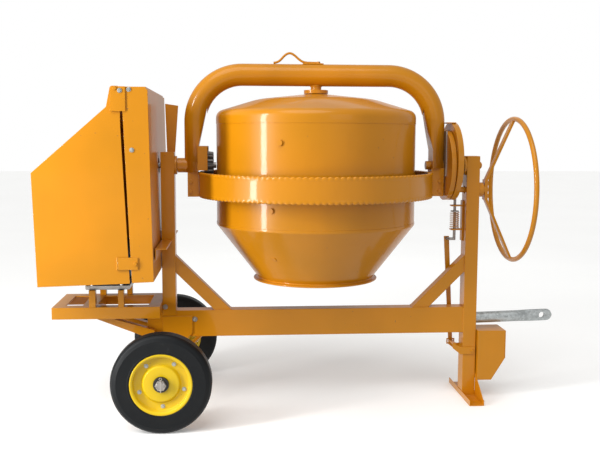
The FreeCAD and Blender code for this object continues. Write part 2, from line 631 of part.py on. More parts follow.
def build_cabin():
    half = "cabin_depth/2"
    skin = "sheet_wall"
    outer = plate("XZ", cabin_outline("0"), both_sides(half))
    inner = plate("XZ", cabin_outline(skin), both_sides(f"{half} - {skin}"))
    below = [(f"-cabin_left + {skin} + 15", "cabin_bottom - 30"), (f"-cabin_left + {skin}", f"cabin_eaves - {skin}"),
             (f"-cabin_ridge_place + 0.3*({skin})", f"cabin_ridge - 1.3*({skin})"),
             ("-cabin_right + 30", f"cabin_ridge - 1.3*({skin})"), ("-cabin_right + 30", "cabin_bottom - 30")]
    hollow = plate("XZ", below, both_sides(f"{half} - {skin}"))
    ears = []
    for side in (-1, 1):
        ends = (f"-({half})", f"-({half}) + {skin}") if side < 0 else (f"{half} - {skin}", half)
        ear = [("-hinge_place - 42", "cabin_ridge - 26"), ("-hinge_place - 22", "hinge_height + 12", 14),
               ("-hinge_place + 22", "hinge_height + 12", 14), ("-hinge_place + 22", "cabin_ridge - 200")]
        ears.append(plate("XZ", ear, ends))
    pin_hole = rod("hinge_pin/2 + 0.3", "Y", both_sides("cabin_depth"), ("-hinge_place", "hinge_height"))
    piece("engine_cover", cut(fuse(cut(outer, inner, hollow), *ears), pin_hole))

    half = "guard_depth/2"
    def side_view(skin, open_left):
        left = f"-guard_left_top + {skin}" if not open_left else "-guard_left_top - 20"
        left_low = f"-guard_left + {skin}" if not open_left else "-guard_left - 20"
        return [(left_low, f"cabin_bottom + 10 - {skin}"), (left, f"guard_crown - {skin}"),
                (f"-guard_right_top - {skin}", f"guard_crown - {skin}"),
                (f"-guard_right_foot - {skin}", f"cabin_bottom + 14 - {skin}")]
    outer = plate("XZ", side_view("0", False), both_sides(half))
    inner = plate("XZ", side_view(skin, True), both_sides(f"{half} - {skin}"))
    shaft_hole = rod("bush_radius + 4", "X", ("-guard_left", "left_post_outer"), (0, "tilt_axis_height"))
    drain = box(("-guard_left - 40", "-guard_right_foot - sheet_wall - 2"), both_sides(f"{half} - {skin}"),
                ("cabin_bottom - 30", "cabin_bottom + 30"))
    rail = box(("-guard_left_top", "-guard_right_top - 8"), both_sides("guard_depth/2"),
               ("guard_crown", "guard_crown + 10"))
    piece("belt_guard", fuse(cut(outer, inner, shaft_hole, drain), rail))

    caps = []
    for side in (-1, 1):
        ends = ("-guard_depth/2 - 6", "-guard_depth/2") if side < 0 else ("guard_depth/2", "guard_depth/2 + 6")
        corners = [("-hinge_place - 23", "hinge_height - 105"), ("-hinge_place - 19", "hinge_height + 9"),
                   ("-guard_left_top + 18", "hinge_height + 9"), ("-guard_left_top + 18", "hinge_height - 105")]
        caps.append(plate("XZ", corners, ends))
        inner_end = "cabin_depth/2 - sheet_wall - 8"
        pin = ("-guard_depth/2 - 12", f"-({inner_end})") if side < 0 else (inner_end, "guard_depth/2 + 12")
        caps.append(rod("hinge_pin/2", "Y", pin, ("-hinge_place", "hinge_height")))
    keeper = box(("-guard_left + 5", "-guard_left + 36"), ("-guard_depth/2 - 1.5", "-guard_depth/2"),
                 ("cabin_bottom + 80", "cabin_bottom + 126"))
    piece("cover_fittings", fuse(*caps, keeper))

    # The hasp is hinged on the hood and lies over a keeper plate on the belt guard.
    face = "-guard_depth/2 - 2"
    leaf = box(("-guard_left - 62", "-guard_left + 30"), (f"{face} - 4", face), ("cabin_bottom + 74", "cabin_bottom + 132"))
    barrel = rod("5", "Z", ("cabin_bottom + 74", "cabin_bottom + 132"),
                 ("-guard_left - 66", "-cabin_depth/2 - 5.5"))
    knob = rod("8", "Y", (f"{face} - 14", f"{face} - 4"), ("-guard_left + 18", "cabin_bottom + 103"))
    piece("cover_latch", fuse(leaf, barrel, knob))

    shelves = []
    for side in (-1, 1):
        ends = ("-shelf_reach", "-post_face") if side < 0 else ("post_face", "shelf_reach")
        shelves.append(box(("left_post_outer", "left_post_outer + shelf_size"), ends,
                           ("shelf_height - tube_wall", "shelf_height")))
        shelves.append(box(("left_post_outer", "left_post_outer + tube_wall"), ends,
                           ("shelf_height - shelf_size", "shelf_height")))
    stay = [("left_post_outer + 20", "left_post_top + 250"), ("left_post_outer + 88", "left_post_top + 240"),
            ("left_post_inner - 8", "left_post_top - 100"), ("left_post_outer + 30", "left_post_top - 100")]
    shelves.append(plate("XZ", stay, ("post_face", "post_face + tube_wall")))
    piece("guard_supports", fuse(*shelves))


# ---- motor and belt drive ----

def build_drive():
    across = (0, "motor_axis_height")
    case = rod("motor_radius", "X", ("motor_left", "-motor_right"), across)
    parts = [case, rod("motor_radius + 8", "X", ("-motor_right - 16", "-motor_right"), across),
             rod("motor_radius - 22", "X", ("motor_left - 46", "motor_left"), across),
             box(("motor_left + 60", "-motor_right - 40"), both_sides("motor_radius - 10"),
                 ("base_top", "motor_axis_height - 60"))]
    for turn in range(24):
        fin = doc.addObject("Part::Box", "Fin")
        bind(fin, "Length", "motor_length - 40")
        bind(fin, "Width", "3")
        bind(fin, "Height", "14")
        angle = 15 * turn
        fin.Placement = FreeCAD.Placement(FreeCAD.Vector(), FreeCAD.Rotation(FreeCAD.Vector(1, 0, 0), angle))
        radius = "(motor_radius - 3)"
        bind_place(fin, "motor_left + 14", f"-{radius}*sin({angle}) - 1.5*cos({angle})",
                   f"motor_axis_height + {radius}*cos({angle}) - 1.5*sin({angle})")
        parts.append(fin)
    terminal = box(("motor_left + 90", "motor_left + 190"), both_sides("50"),
                   ("motor_axis_height + motor_radius - 12", "motor_axis_height + motor_radius + 62"))
    gland = rod("12", "Y", ("-78", "-50"), ("motor_left + 120", "motor_axis_height + motor_radius + 24"))
    seat = rod("drive_radius + 0.06", "X", ("-motor_right - 60", "-motor_right + 1"), across)
    piece("motor", cut(fuse(*parts, terminal, gland), seat))

    left = "(-pulley_plane - pulley_width/2)"
    right = "(-pulley_plane + pulley_width/2)"
    def grooves(radius, height, count=2):
        rings = []
        for number in range(count):
            middle = f"({left} + pulley_width/2 + (belt_width + 4)*({number} - 0.5))"
            span = (f"{middle} - belt_width/2 - 0.5", f"{middle} + belt_width/2 + 0.5")
            rings.append(tube(f"{radius} + 2", f"{radius} - belt_height", "X", span, (0, height)))
        return rings
    shaft = rod("drive_radius - 1", "X", ("-motor_right - 55", right), across)
    wheel = cut(rod("motor_pulley_radius", "X", (left, right), across),
                *grooves("motor_pulley_radius", "motor_axis_height"))
    piece("motor_pulley", fuse(shaft, wheel))
    across = (0, "tilt_axis_height")
    rim = tube("large_pulley_radius", "large_pulley_radius - belt_height - 14", "X", (left, right), across)
    web = rod("large_pulley_radius - belt_height - 8", "X", (f"{left} + 15", f"{right} - 15"), across)
    hub = rod("48", "X", (left, right), across)
    bore = rod("drive_radius", "X", (f"{left} - 5", f"{right} + 5"), across)
    holes = [rod("48", "X", (left, right), (f"150*cos({60*turn})", f"tilt_axis_height + 150*sin({60*turn})"))
             for turn in range(6)]
    wheel = cut(fuse(rim, cut(web, *holes), hub), bore, *grooves("large_pulley_radius", "tilt_axis_height"))
    piece("large_pulley", wheel)
    build_belts()
    piece("drive_shaft", rod("drive_radius", "X", (f"{left} - 20", "drum_place - ring_inner_radius + 14"), across))


def build_belts():
    """Two endless belts: the hull of both pulleys' seats, less the hull inside them."""
    spread = "(tilt_axis_height - motor_axis_height)"
    lean = f"asin((large_pulley_radius - motor_pulley_radius)/{spread})"
    loops = []
    for number in (0, 1):
        middle = f"(-pulley_plane + (belt_width + 4)*({number} - 0.5))"
        span = (f"{middle} - belt_width/2", f"{middle} + belt_width/2")
        hulls = []
        for skin in ("0", "-belt_height + 0.4"):
            big = f"(large_pulley_radius + {skin})"
            small = f"(motor_pulley_radius + {skin})"
            corners = [(f"-{big}*cos({lean})", f"tilt_axis_height - {big}*sin({lean})"),
                       (f"-{small}*cos({lean})", f"motor_axis_height - {small}*sin({lean})"),
                       (f"{small}*cos({lean})", f"motor_axis_height - {small}*sin({lean})"),
                       (f"{big}*cos({lean})", f"tilt_axis_height - {big}*sin({lean})")]
            wide = span if skin == "0" else (f"{span[0]} - 1", f"{span[1]} + 1")
            hulls.append(fuse(rod(big, "X", wide, (0, "tilt_axis_height")),
                              rod(small, "X", wide, (0, "motor_axis_height")),
                              plate("YZ", corners, wide)))
        loops.append(cut(*hulls))
    piece("drive_belts", fuse(*loops))


# ---- gears ----

def tooth_half_angle(radius, teeth, module, play):
    """Half the angle that a 20 degree involute tooth spans at a radius."""
    pitch = module * teeth / 2
    base = pitch * math.cos(math.radians(20))
    pressure = math.acos(min(1.0, base / max(radius, base)))
    involute = math.tan(pressure) - pressure
    nominal = math.tan(math.radians(20)) - math.radians(20)
    return math.pi / (2 * teeth) - play / (2 * pitch) + nominal - involute


def spur_outline(teeth, module, play, tip=0.95, root=1.25):
    """A gear's outline as (radius, angle) pairs; a tooth is centred on angle zero."""
    pitch = module * teeth / 2
    low = pitch - root * module
    high = pitch + tip * module
    levels = [low, pitch - 0.45 * module, pitch, pitch + 0.5 * module, high]
    points = []
    for tooth in range(teeth):
        middle = 2 * math.pi * tooth / teeth
        flank = [(radius, tooth_half_angle(radius, teeth, module, play)) for radius in levels]
        points += [(radius, middle - half) for radius, half in flank]
        points += [(radius, middle + half) for radius, half in reversed(flank)]
    return points


def polygon(points):
    return Part.makePolygon([FreeCAD.Vector(*p) for p in points + points[:1]])


def spur_gear(teeth, module, start, width, height, first_angle, bore):
    """A straight gear about an X axis at (0, height), with a plain bore."""
    ring = [(start, radius * math.cos(angle + first_angle), height + radius * math.sin(angle + first_angle))
            for radius, angle in spur_outline(teeth, module, 0.6)]
    blank = Part.Face(polygon(ring)).extrude(FreeCAD.Vector(width, 0, 0))
    hole = Part.makeCylinder(bore, width + 2, FreeCAD.Vector(start - 1, 0, height), FreeCAD.Vector(1, 0, 0))
    return blank.cut(hole)


def bevel_pinion():
    """The drive pinion: tooth flanks run to the apex on the drum's axis."""
    apex = FreeCAD.Vector(size("drum_place"), 0, size("tilt_axis_height"))
    reach = size("ring_pitch_radius")
    teeth = int(size("pinion_teeth"))
    outline = spur_outline(teeth, size("bevel_module"), 0.8, tip=0.85, root=1.15)
    outer = [FreeCAD.Vector(-reach, radius * math.cos(angle - math.pi / 2), radius * math.sin(angle - math.pi / 2))
             for radius, angle in outline]
    share = size("ring_inner_radius/ring_pitch_radius")
    return between_outlines(outer, share, apex, caps=True)


def between_outlines(outer, share, apex, caps):
    """Flat facets between an outline and its smaller copy toward the apex."""
    near = [apex + point for point in outer]
    far = [apex + point * share for point in outer]
    count = len(near)
    faces = []
    for i in range(count):
        j = (i + 1) % count
        faces.append(Part.Face(Part.makePolygon([near[i], near[j], far[j], far[i], near[i]])))
    if caps:
        for rim in (near, far):
            faces.append(Part.Face(Part.makePolygon(rim + rim[:1])))
        return Part.makeSolid(Part.makeShell(faces))
    return near, far, faces


def ring_gear():
    """The drum's crown gear: straight-sided teeth on top of a flat ring."""
    teeth = int(size("ring_teeth"))
    module = size("bevel_module")
    reach = size("ring_pitch_radius")
    drop = size("pinion_pitch_radius")
    apex = FreeCAD.Vector(size("drum_place"), 0, size("tilt_axis_height"))
    base = size("gear_base")
    quarter = math.pi / (2 * teeth)
    slope = math.tan(math.radians(20)) * module / reach
    tip = (0.75 * module, quarter - 0.4 / reach - 0.75 * slope)
    root = (-1.2 * module, quarter - 0.4 / reach + 1.2 * slope)
    outer = []
    for tooth in range(teeth):
        middle = math.pi + 2 * math.pi * (tooth + 0.5) / teeth
        for (rise, half), side in ((root, -1), (tip, -1), (tip, 1), (root, 1)):
            angle = middle + side * half
            outer.append(FreeCAD.Vector(reach * math.cos(angle), reach * math.sin(angle), rise - drop))
    share = size("ring_inner_radius/ring_pitch_radius")
    near, far, faces = between_outlines(outer, share, apex, caps=False)
    rings = []
    for rim in (near, far):
        ground = [FreeCAD.Vector(p.x, p.y, base) for p in rim]
        for i in range(len(rim)):
            j = (i + 1) % len(rim)
            faces.append(Part.Face(Part.makePolygon([rim[i], rim[j], ground[j], ground[i], rim[i]])))
        rings.append(Part.makePolygon(ground + ground[:1]))
    faces.append(Part.makeFace(rings, "Part::FaceMakerBullseye"))
    return Part.makeSolid(Part.makeShell(faces))


# ---- drum ----

def drum_outline(skin):
    """The drum's profile at a depth of skin under its outer surface."""
    half = f"0.5*({skin})"
    foot = "mouth_height + 1" if skin == "0" else "mouth_height - 5"
    return [("0", f"drum_top - {skin}"), ("spindle_flange/2", f"drum_top - {skin}"),
            ("drum_dome_knee", f"drum_dome_knee_height - {skin}", 400),
            (f"drum_dome_edge - {half}", f"drum_dome_shoulder - {skin}", 60),
            (f"drum_radius - {skin}", f"drum_seam_top - {half}"),
            (f"drum_radius - {skin}", f"drum_seam_low + {half}"),
            (f"drum_neck - {skin}", "drum_neck_height"), (f"drum_neck - {skin}", foot), ("0", foot)]


def radial_rod(radius, azimuth, reach, height, length, tilt=0):
    """A round bar that points out of the drum's axis at an azimuth."""
    turn = FreeCAD.Rotation(FreeCAD.Vector(0, 0, 1), azimuth) * FreeCAD.Rotation(FreeCAD.Vector(0, 1, 0), 90 + tilt)
    bar = doc.addObject("Part::Cylinder", "Rod")
    bar.Placement = FreeCAD.Placement(FreeCAD.Vector(), turn)
    bind(bar, "Radius", radius)
    bind(bar, "Height", length)
    bind_place(bar, f"drum_place + ({reach})*cos({azimuth})", f"({reach})*sin({azimuth})", height)
    return bar


BLADES = (235, 355, 115)


def build_drum():
    outer = turned(drum_outline("0"), x="drum_place")
    inner = turned(drum_outline("drum_wall"), x="drum_place")
    shanks = []
    heads = []
    for azimuth in BLADES:
        for shift, height in ((11, "drum_seam_top - 105"), (6, "drum_seam_low + 90")):
            shanks.append(radial_rod("7", azimuth + shift, "drum_radius - 24", height, "32"))
            heads.append(radial_rod("13", azimuth + shift, "drum_radius - 6", height, "14"))
        middle = "(drum_neck_height + drum_seam_low)/2 - 15"
        reach = "((drum_neck + drum_radius)/2)"
        shanks.append(radial_rod("7", azimuth, f"{reach} - 34", f"{middle} + 28", "42", 39))
        heads.append(radial_rod("13", azimuth, f"{reach} - 18", f"{middle} + 15", "26", 39))
    mouth = [("drum_neck - drum_wall", "mouth_height"), ("drum_neck - drum_wall", "drum_neck_height - 2"),
             ("drum_neck", "drum_neck_height - 2"), ("mouth_radius - 4", "mouth_height + 10", 3),
             ("mouth_radius", "mouth_height + 7", 3), ("mouth_radius", "mouth_height", 3)]
    rim = turned(mouth, x="drum_place")
    spindle_hole = rod("spindle_diameter/2 + 4", "Z", ("drum_top - 20", "drum_top + 5"), ("drum_place", 0))
    shell = cut(outer, inner, spindle_hole, *shanks)
    above = box(("drum_place - drum_radius - 10", "drum_place + drum_radius + 10"), both_sides("drum_radius + 10"),
                ("drum_seam_low", "drum_top + 10"))
    below = box(("drum_place - drum_radius - 10", "drum_place + drum_radius + 10"), both_sides("drum_radius + 10"),
                ("mouth_height - 10", "drum_seam_low"))
    piece("drum_shell", common(shell, above))
    piece("drum_cone", fuse(common(shell, below), rim))
    piece("blade_bolts", fuse(*shanks, *[cut(head, outer) for head in heads]))
    span = ("drum_top - drum_wall - hub_height", "drum_top - drum_wall")
    piece("drum_hub", tube("hub_width/2", "spindle_diameter/2 + running_clearance", "Z", span, ("drum_place", 0)))
    vanes = []
    for azimuth in BLADES:
        vane = doc.addObject("Part::Box", "Vane")
        turn = FreeCAD.Rotation(FreeCAD.Vector(0, 0, 1), azimuth) * FreeCAD.Rotation(FreeCAD.Vector(1, 0, 0), -9)
        vane.Placement = FreeCAD.Placement(FreeCAD.Vector(), turn)
        bind(vane, "Length", "260")
        bind(vane, "Width", "8")
        bind(vane, "Height", "drum_seam_top - drum_neck_height - 110")
        bind_place(vane, f"drum_place + 285*cos({azimuth})", f"285*sin({azimuth})", "drum_neck_height + 40")
        vanes.append(cut(common(vane, inner), *shanks))
    piece("mixing_blades", fuse(*vanes))
    carrier = tube("ring_pitch_radius + 2", "drum_radius", "Z",
                   ("gear_base - carrier_thickness", "gear_base"), ("drum_place", 0))
    piece("gear_carrier", carrier)
    piece("ring_gear", free_shape(ring_gear()))
    collar = rod("26", "X", ("drum_place - ring_pitch_radius - 16", "drum_place - ring_pitch_radius"),
                 (0, "tilt_axis_height"))
    bore = rod("drive_radius", "X", ("drum_place - ring_pitch_radius - 20", "drum_place"), (0, "tilt_axis_height"))
    piece("bevel_pinion", cut(fuse(free_shape(bevel_pinion()), collar), bore))


# ---- yoke ----

def yoke_bar(radius, drop):
    """One bent bar from leg to leg; drop keeps a core short of the leg's ends."""
    body = doc.addObject("PartDesign::Body", "Bar")
    path = body.newObject("Sketcher::SketchObject", "Path")
    planes = {part.Role: part for part in body.Origin.OriginFeatures}
    path.AttachmentSupport = [(planes["XZ_Plane"], "")]
    path.MapMode = "FlatFace"
    bottom = f"right_leg_end - 30 + {drop}"
    marks = [("left_leg_place", bottom), ("left_leg_place", "yoke_top"),
             ("right_leg_place", "yoke_top"), ("right_leg_place", bottom)]
    spots = [FreeCAD.Vector(size(a), size(b), 0) for a, b in marks]
    bend = size("yoke_bend")
    down = FreeCAD.Vector(0, -bend, 0)
    side = FreeCAD.Vector(bend, 0, 0)
    path.addGeometry(Part.LineSegment(spots[0], spots[1] + down), False)
    upright = FreeCAD.Vector(0, 0, 1)
    left = Part.Circle(spots[1] + side + down, upright, bend)
    path.addGeometry(Part.ArcOfCircle(left, math.pi / 2, math.pi), False)
    path.addGeometry(Part.LineSegment(spots[1] + side, spots[2] - side), False)
    right = Part.Circle(spots[2] - side + down, upright, bend)
    path.addGeometry(Part.ArcOfCircle(right, 0, math.pi / 2), False)
    path.addGeometry(Part.LineSegment(spots[2] + down, spots[3]), False)
    for first, one, second, two in ((0, 2, 1, 2), (1, 1, 2, 1), (2, 2, 3, 2), (3, 1, 4, 1)):
        path.addConstraint(Sketcher.Constraint("Tangent", first, one, second, two))
    for arc in (1, 3):
        rule = path.addConstraint(Sketcher.Constraint("Radius", arc, bend))
        bind(path, f"Constraints[{rule}]", "yoke_bend")
    path.addConstraint(Sketcher.Constraint("Vertical", 0))
    path.addConstraint(Sketcher.Constraint("Horizontal", 2))
    path.addConstraint(Sketcher.Constraint("Vertical", 4))
    fix_point(path, 0, 1, marks[0], spots[0])
    fix_point(path, 4, 2, marks[3], spots[3])
    rule = path.addConstraint(Sketcher.Constraint("DistanceY", -1, 1, 2, 1, spots[1].y))
    bind(path, f"Constraints[{rule}]", "yoke_top")
    section = body.newObject("Sketcher::SketchObject", "Section")
    section.AttachmentSupport = [(planes["XY_Plane"], "")]
    section.MapMode = "FlatFace"
    bind(section, "AttachmentOffset.Base.z", bottom)
    ring = Part.Circle(FreeCAD.Vector(spots[0].x, 0, 0), upright, size(radius))
    circle = section.addGeometry(ring, False)
    rule = section.addConstraint(Sketcher.Constraint("Radius", circle, size(radius)))
    bind(section, f"Constraints[{rule}]", radius)
    rule = section.addConstraint(Sketcher.Constraint("DistanceX", -1, 1, circle, 3, spots[0].x))
    bind(section, f"Constraints[{rule}]", "left_leg_place")
    section.addConstraint(Sketcher.Constraint("PointOnObject", circle, 3, -1))
    pipe = body.newObject("PartDesign::AdditivePipe", "Pipe")
    pipe.Profile = section
    pipe.Spine = (path, [f"Edge{number}" for number in range(1, 6)])
    return body


def leg_wedge(side, skin):
    """What is sawn off the inner side of a leg so that it tapers to a flat foot."""
    outer = f"(drum_place + {side}*(yoke_half_span + yoke_radius))"
    flat = f"{outer} - {side}*(leg_foot_width - {skin})"
    clear = f"{outer} - {side}*(yoke_diameter + 5)"
    return plate("XZ", [(flat, "tilt_axis_height - 80"), (flat, "leg_taper_bottom"),
                        (clear, f"leg_taper_top + 2*{skin}"), (clear, "tilt_axis_height - 80")],
                 both_sides("yoke_diameter"))


def build_yoke():
    thick = "tube_wall"
    left_end = box(("left_leg_outer - 5", "drum_place"), both_sides("yoke_diameter"),
                   ("right_leg_end - 200", "left_leg_end"))
    right_end = box(("drum_place", "right_leg_outer + 5"), both_sides("yoke_diameter"),
                    ("right_leg_end - 200", "right_leg_end"))
    skin = cut(yoke_bar("yoke_radius", "0"), leg_wedge(-1, "0"), leg_wedge(1, "0"), left_end, right_end)
    core = cut(yoke_bar(f"yoke_radius - {thick}", "60"), leg_wedge(-1, thick), leg_wedge(1, thick))
    across = (0, "tilt_axis_height")
    left_hole = rod("trunnion_diameter/2", "X", ("left_leg_outer - 5", "left_leg_outer + leg_foot_width + 5"), across)
    right_hole = rod("journal_radius", "X", ("right_leg_outer - leg_foot_width - 5", "right_leg_outer + 5"), across)
    piece("yoke_pipe", cut(skin, core, left_hole, right_hole))

    neck = "left_post_inner + bearing_flange_thickness + 3"
    body = rod("trunnion_diameter/2", "X", (neck, "left_leg_outer + leg_foot_width"), across)
    journal = rod("journal_radius", "X", ("left_post_outer + 2", neck), across)
    bore = rod("drive_radius + running_clearance", "X", ("left_post_outer", "left_leg_outer + 200"), across)
    piece("left_trunnion", cut(fuse(body, journal), bore))

    flange = rod("flange_disc_diameter/2", "X", ("right_leg_outer", "right_leg_outer + flange_disc_thickness"), across)
    shaft = rod("journal_radius", "X", ("right_leg_outer - leg_foot_width", "post_half"), across)
    boss = rod("23", "X", ("right_leg_outer - leg_foot_width - 27", "right_leg_outer - leg_foot_width"), across)
    washer = rod("journal_radius + 4", "X", ("post_half + 0.4", "post_half + 4"), across)
    stud = rod("12", "X", ("post_half - 5", "post_half + 20"), across)
    nut = rod("18", "X", ("post_half + 3", "post_half + 16"), across)
    piece("right_trunnion", fuse(flange, shaft, boss, washer, stud, nut))

    loop = [("drum_place - 214", 0, "yoke_top + yoke_radius - 4"), ("drum_place - 158", 0, "yoke_top + yoke_radius + 56"),
            ("drum_place - 118", 0, "yoke_top + yoke_radius + 56"), ("drum_place - 58", 0, "yoke_top + yoke_radius + 5"),
            ("drum_place + 20", 0, "yoke_top + yoke_radius + 5")]
    rods = free_shape(bent_rod(loop, 6, 24))
    tab = box(("drum_place - 70", "drum_place + 38"), ("-18", "18"),
              ("yoke_top + yoke_radius - 2", "yoke_top + yoke_radius + 4"))
    cap = rod("15", "Z", ("yoke_top + yoke_radius + 2", "yoke_top + yoke_radius + 16"), ("drum_place + 12", 0))
    outside = yoke_bar("yoke_radius", "0")
    piece("lifting_loop", cut(fuse(rods, tab, cap), outside))

    stub = rod("spindle_stub/2", "Z", ("drum_top + 20", "yoke_underside + 20"), ("drum_place", 0))
    flange = rod("spindle_flange/2", "Z", ("drum_top + 3", "drum_top + 22"), ("drum_place", 0))
    shaft = rod("spindle_diameter/2", "Z", ("drum_top - drum_wall - hub_height - 12", "drum_top + 10"),
                ("drum_place", 0))
    nut = rod("spindle_diameter/2 + 8", "Z", ("drum_top - drum_wall - hub_height - 24",
              "drum_top - drum_wall - hub_height - 6"), ("drum_place", 0))
    piece("drum_spindle", cut(fuse(stub, flange, shaft, nut), outside))

    rim = rod("guard_radius", "Z", ("guard_bottom - 40", "tilt_axis_height"), ("drum_place", 0))
    left = box(("left_leg_outer + 16", "drum_place - guard_radius + 10"), both_sides("45"),
               ("guard_bottom + 2", "left_leg_end"))
    right = box(("drum_place + guard_radius - 10", "right_leg_outer - 7"), both_sides("45"),
                ("guard_bottom + 2", "right_leg_end"))
    bolts = []
    for place in ("left_leg_outer + 32", "right_leg_outer - 30"):
        for height in ("guard_bottom + 30", "guard_bottom + 82"):
            bolts.append(rod("9", "Y", ("-53", "-45"), (place, height)))
    tube_space = rod("trunnion_diameter/2", "X", ("left_leg_outer - 5", "left_leg_outer + 100"), across)
    shaft_space = rod("journal_radius", "X", ("right_leg_outer - 100", "right_leg_outer + 5"), across)
    piece("guard_brackets", cut(fuse(left, right, *bolts), rim, tube_space, shaft_space))

    # A folded hood over the pinion, open toward the ring gear below and the drum.
    left_face = "left_leg_outer + leg_foot_width"
    hood = box((left_face, "drum_place - ring_inner_radius - 28"), both_sides("92"), ("guard_top + 8", "leg_taper_bottom + 17"))
    room = box((left_face, "drum_place - ring_inner_radius - 20"), both_sides("89"), ("guard_top", "leg_taper_bottom + 14"))
    piece("pinion_hood", cut(fuse(cut(hood, room), box((left_face, f"{left_face} + 3"), both_sides("92"),
          ("tilt_axis_height + trunnion_diameter/2 + 2", "leg_taper_bottom + 17"))), tube_space, skin))
    build_ring_guard()


def build_ring_guard():
    """Two half bands round the ring gear, with notched lips folded inward."""
    band = tube("guard_radius", "guard_radius - sheet_wall", "Z", ("guard_bottom", "guard_top"), ("drum_place", 0))
    lips = []
    for low, high in (("guard_bottom", "guard_bottom + sheet_wall"), ("guard_top - sheet_wall", "guard_top")):
        lips.append(tube("guard_radius - 1", "guard_radius - guard_lip", "Z", (low, high), ("drum_place", 0)))
    whole = fuse(band, *lips)
    notches = []
    count = int(size("guard_notches"))
    for number in range(count):
        angle = 360 * (number + 0.5) / count
        spot = (f"drum_place + (guard_radius - guard_lip)*cos({angle})", f"(guard_radius - guard_lip)*sin({angle})")
        notches.append(rod("guard_notch_radius", "Z", ("guard_bottom - 1", "guard_top + 1"), spot))
    notched = cut(whole, *notches)
    side = "guard_radius + 10"
    around = (f"drum_place - ({side})", f"drum_place + {side}")
    tall = ("guard_bottom - 5", "guard_top + 5")
    piece("near_ring_guard", common(notched, box(around, (f"-({side})", "-0.5"), tall)))
    piece("far_ring_guard", common(notched, box(around, ("0.5", side), tall)))


# ---- bearings, tilting gear, handwheel, lock ----

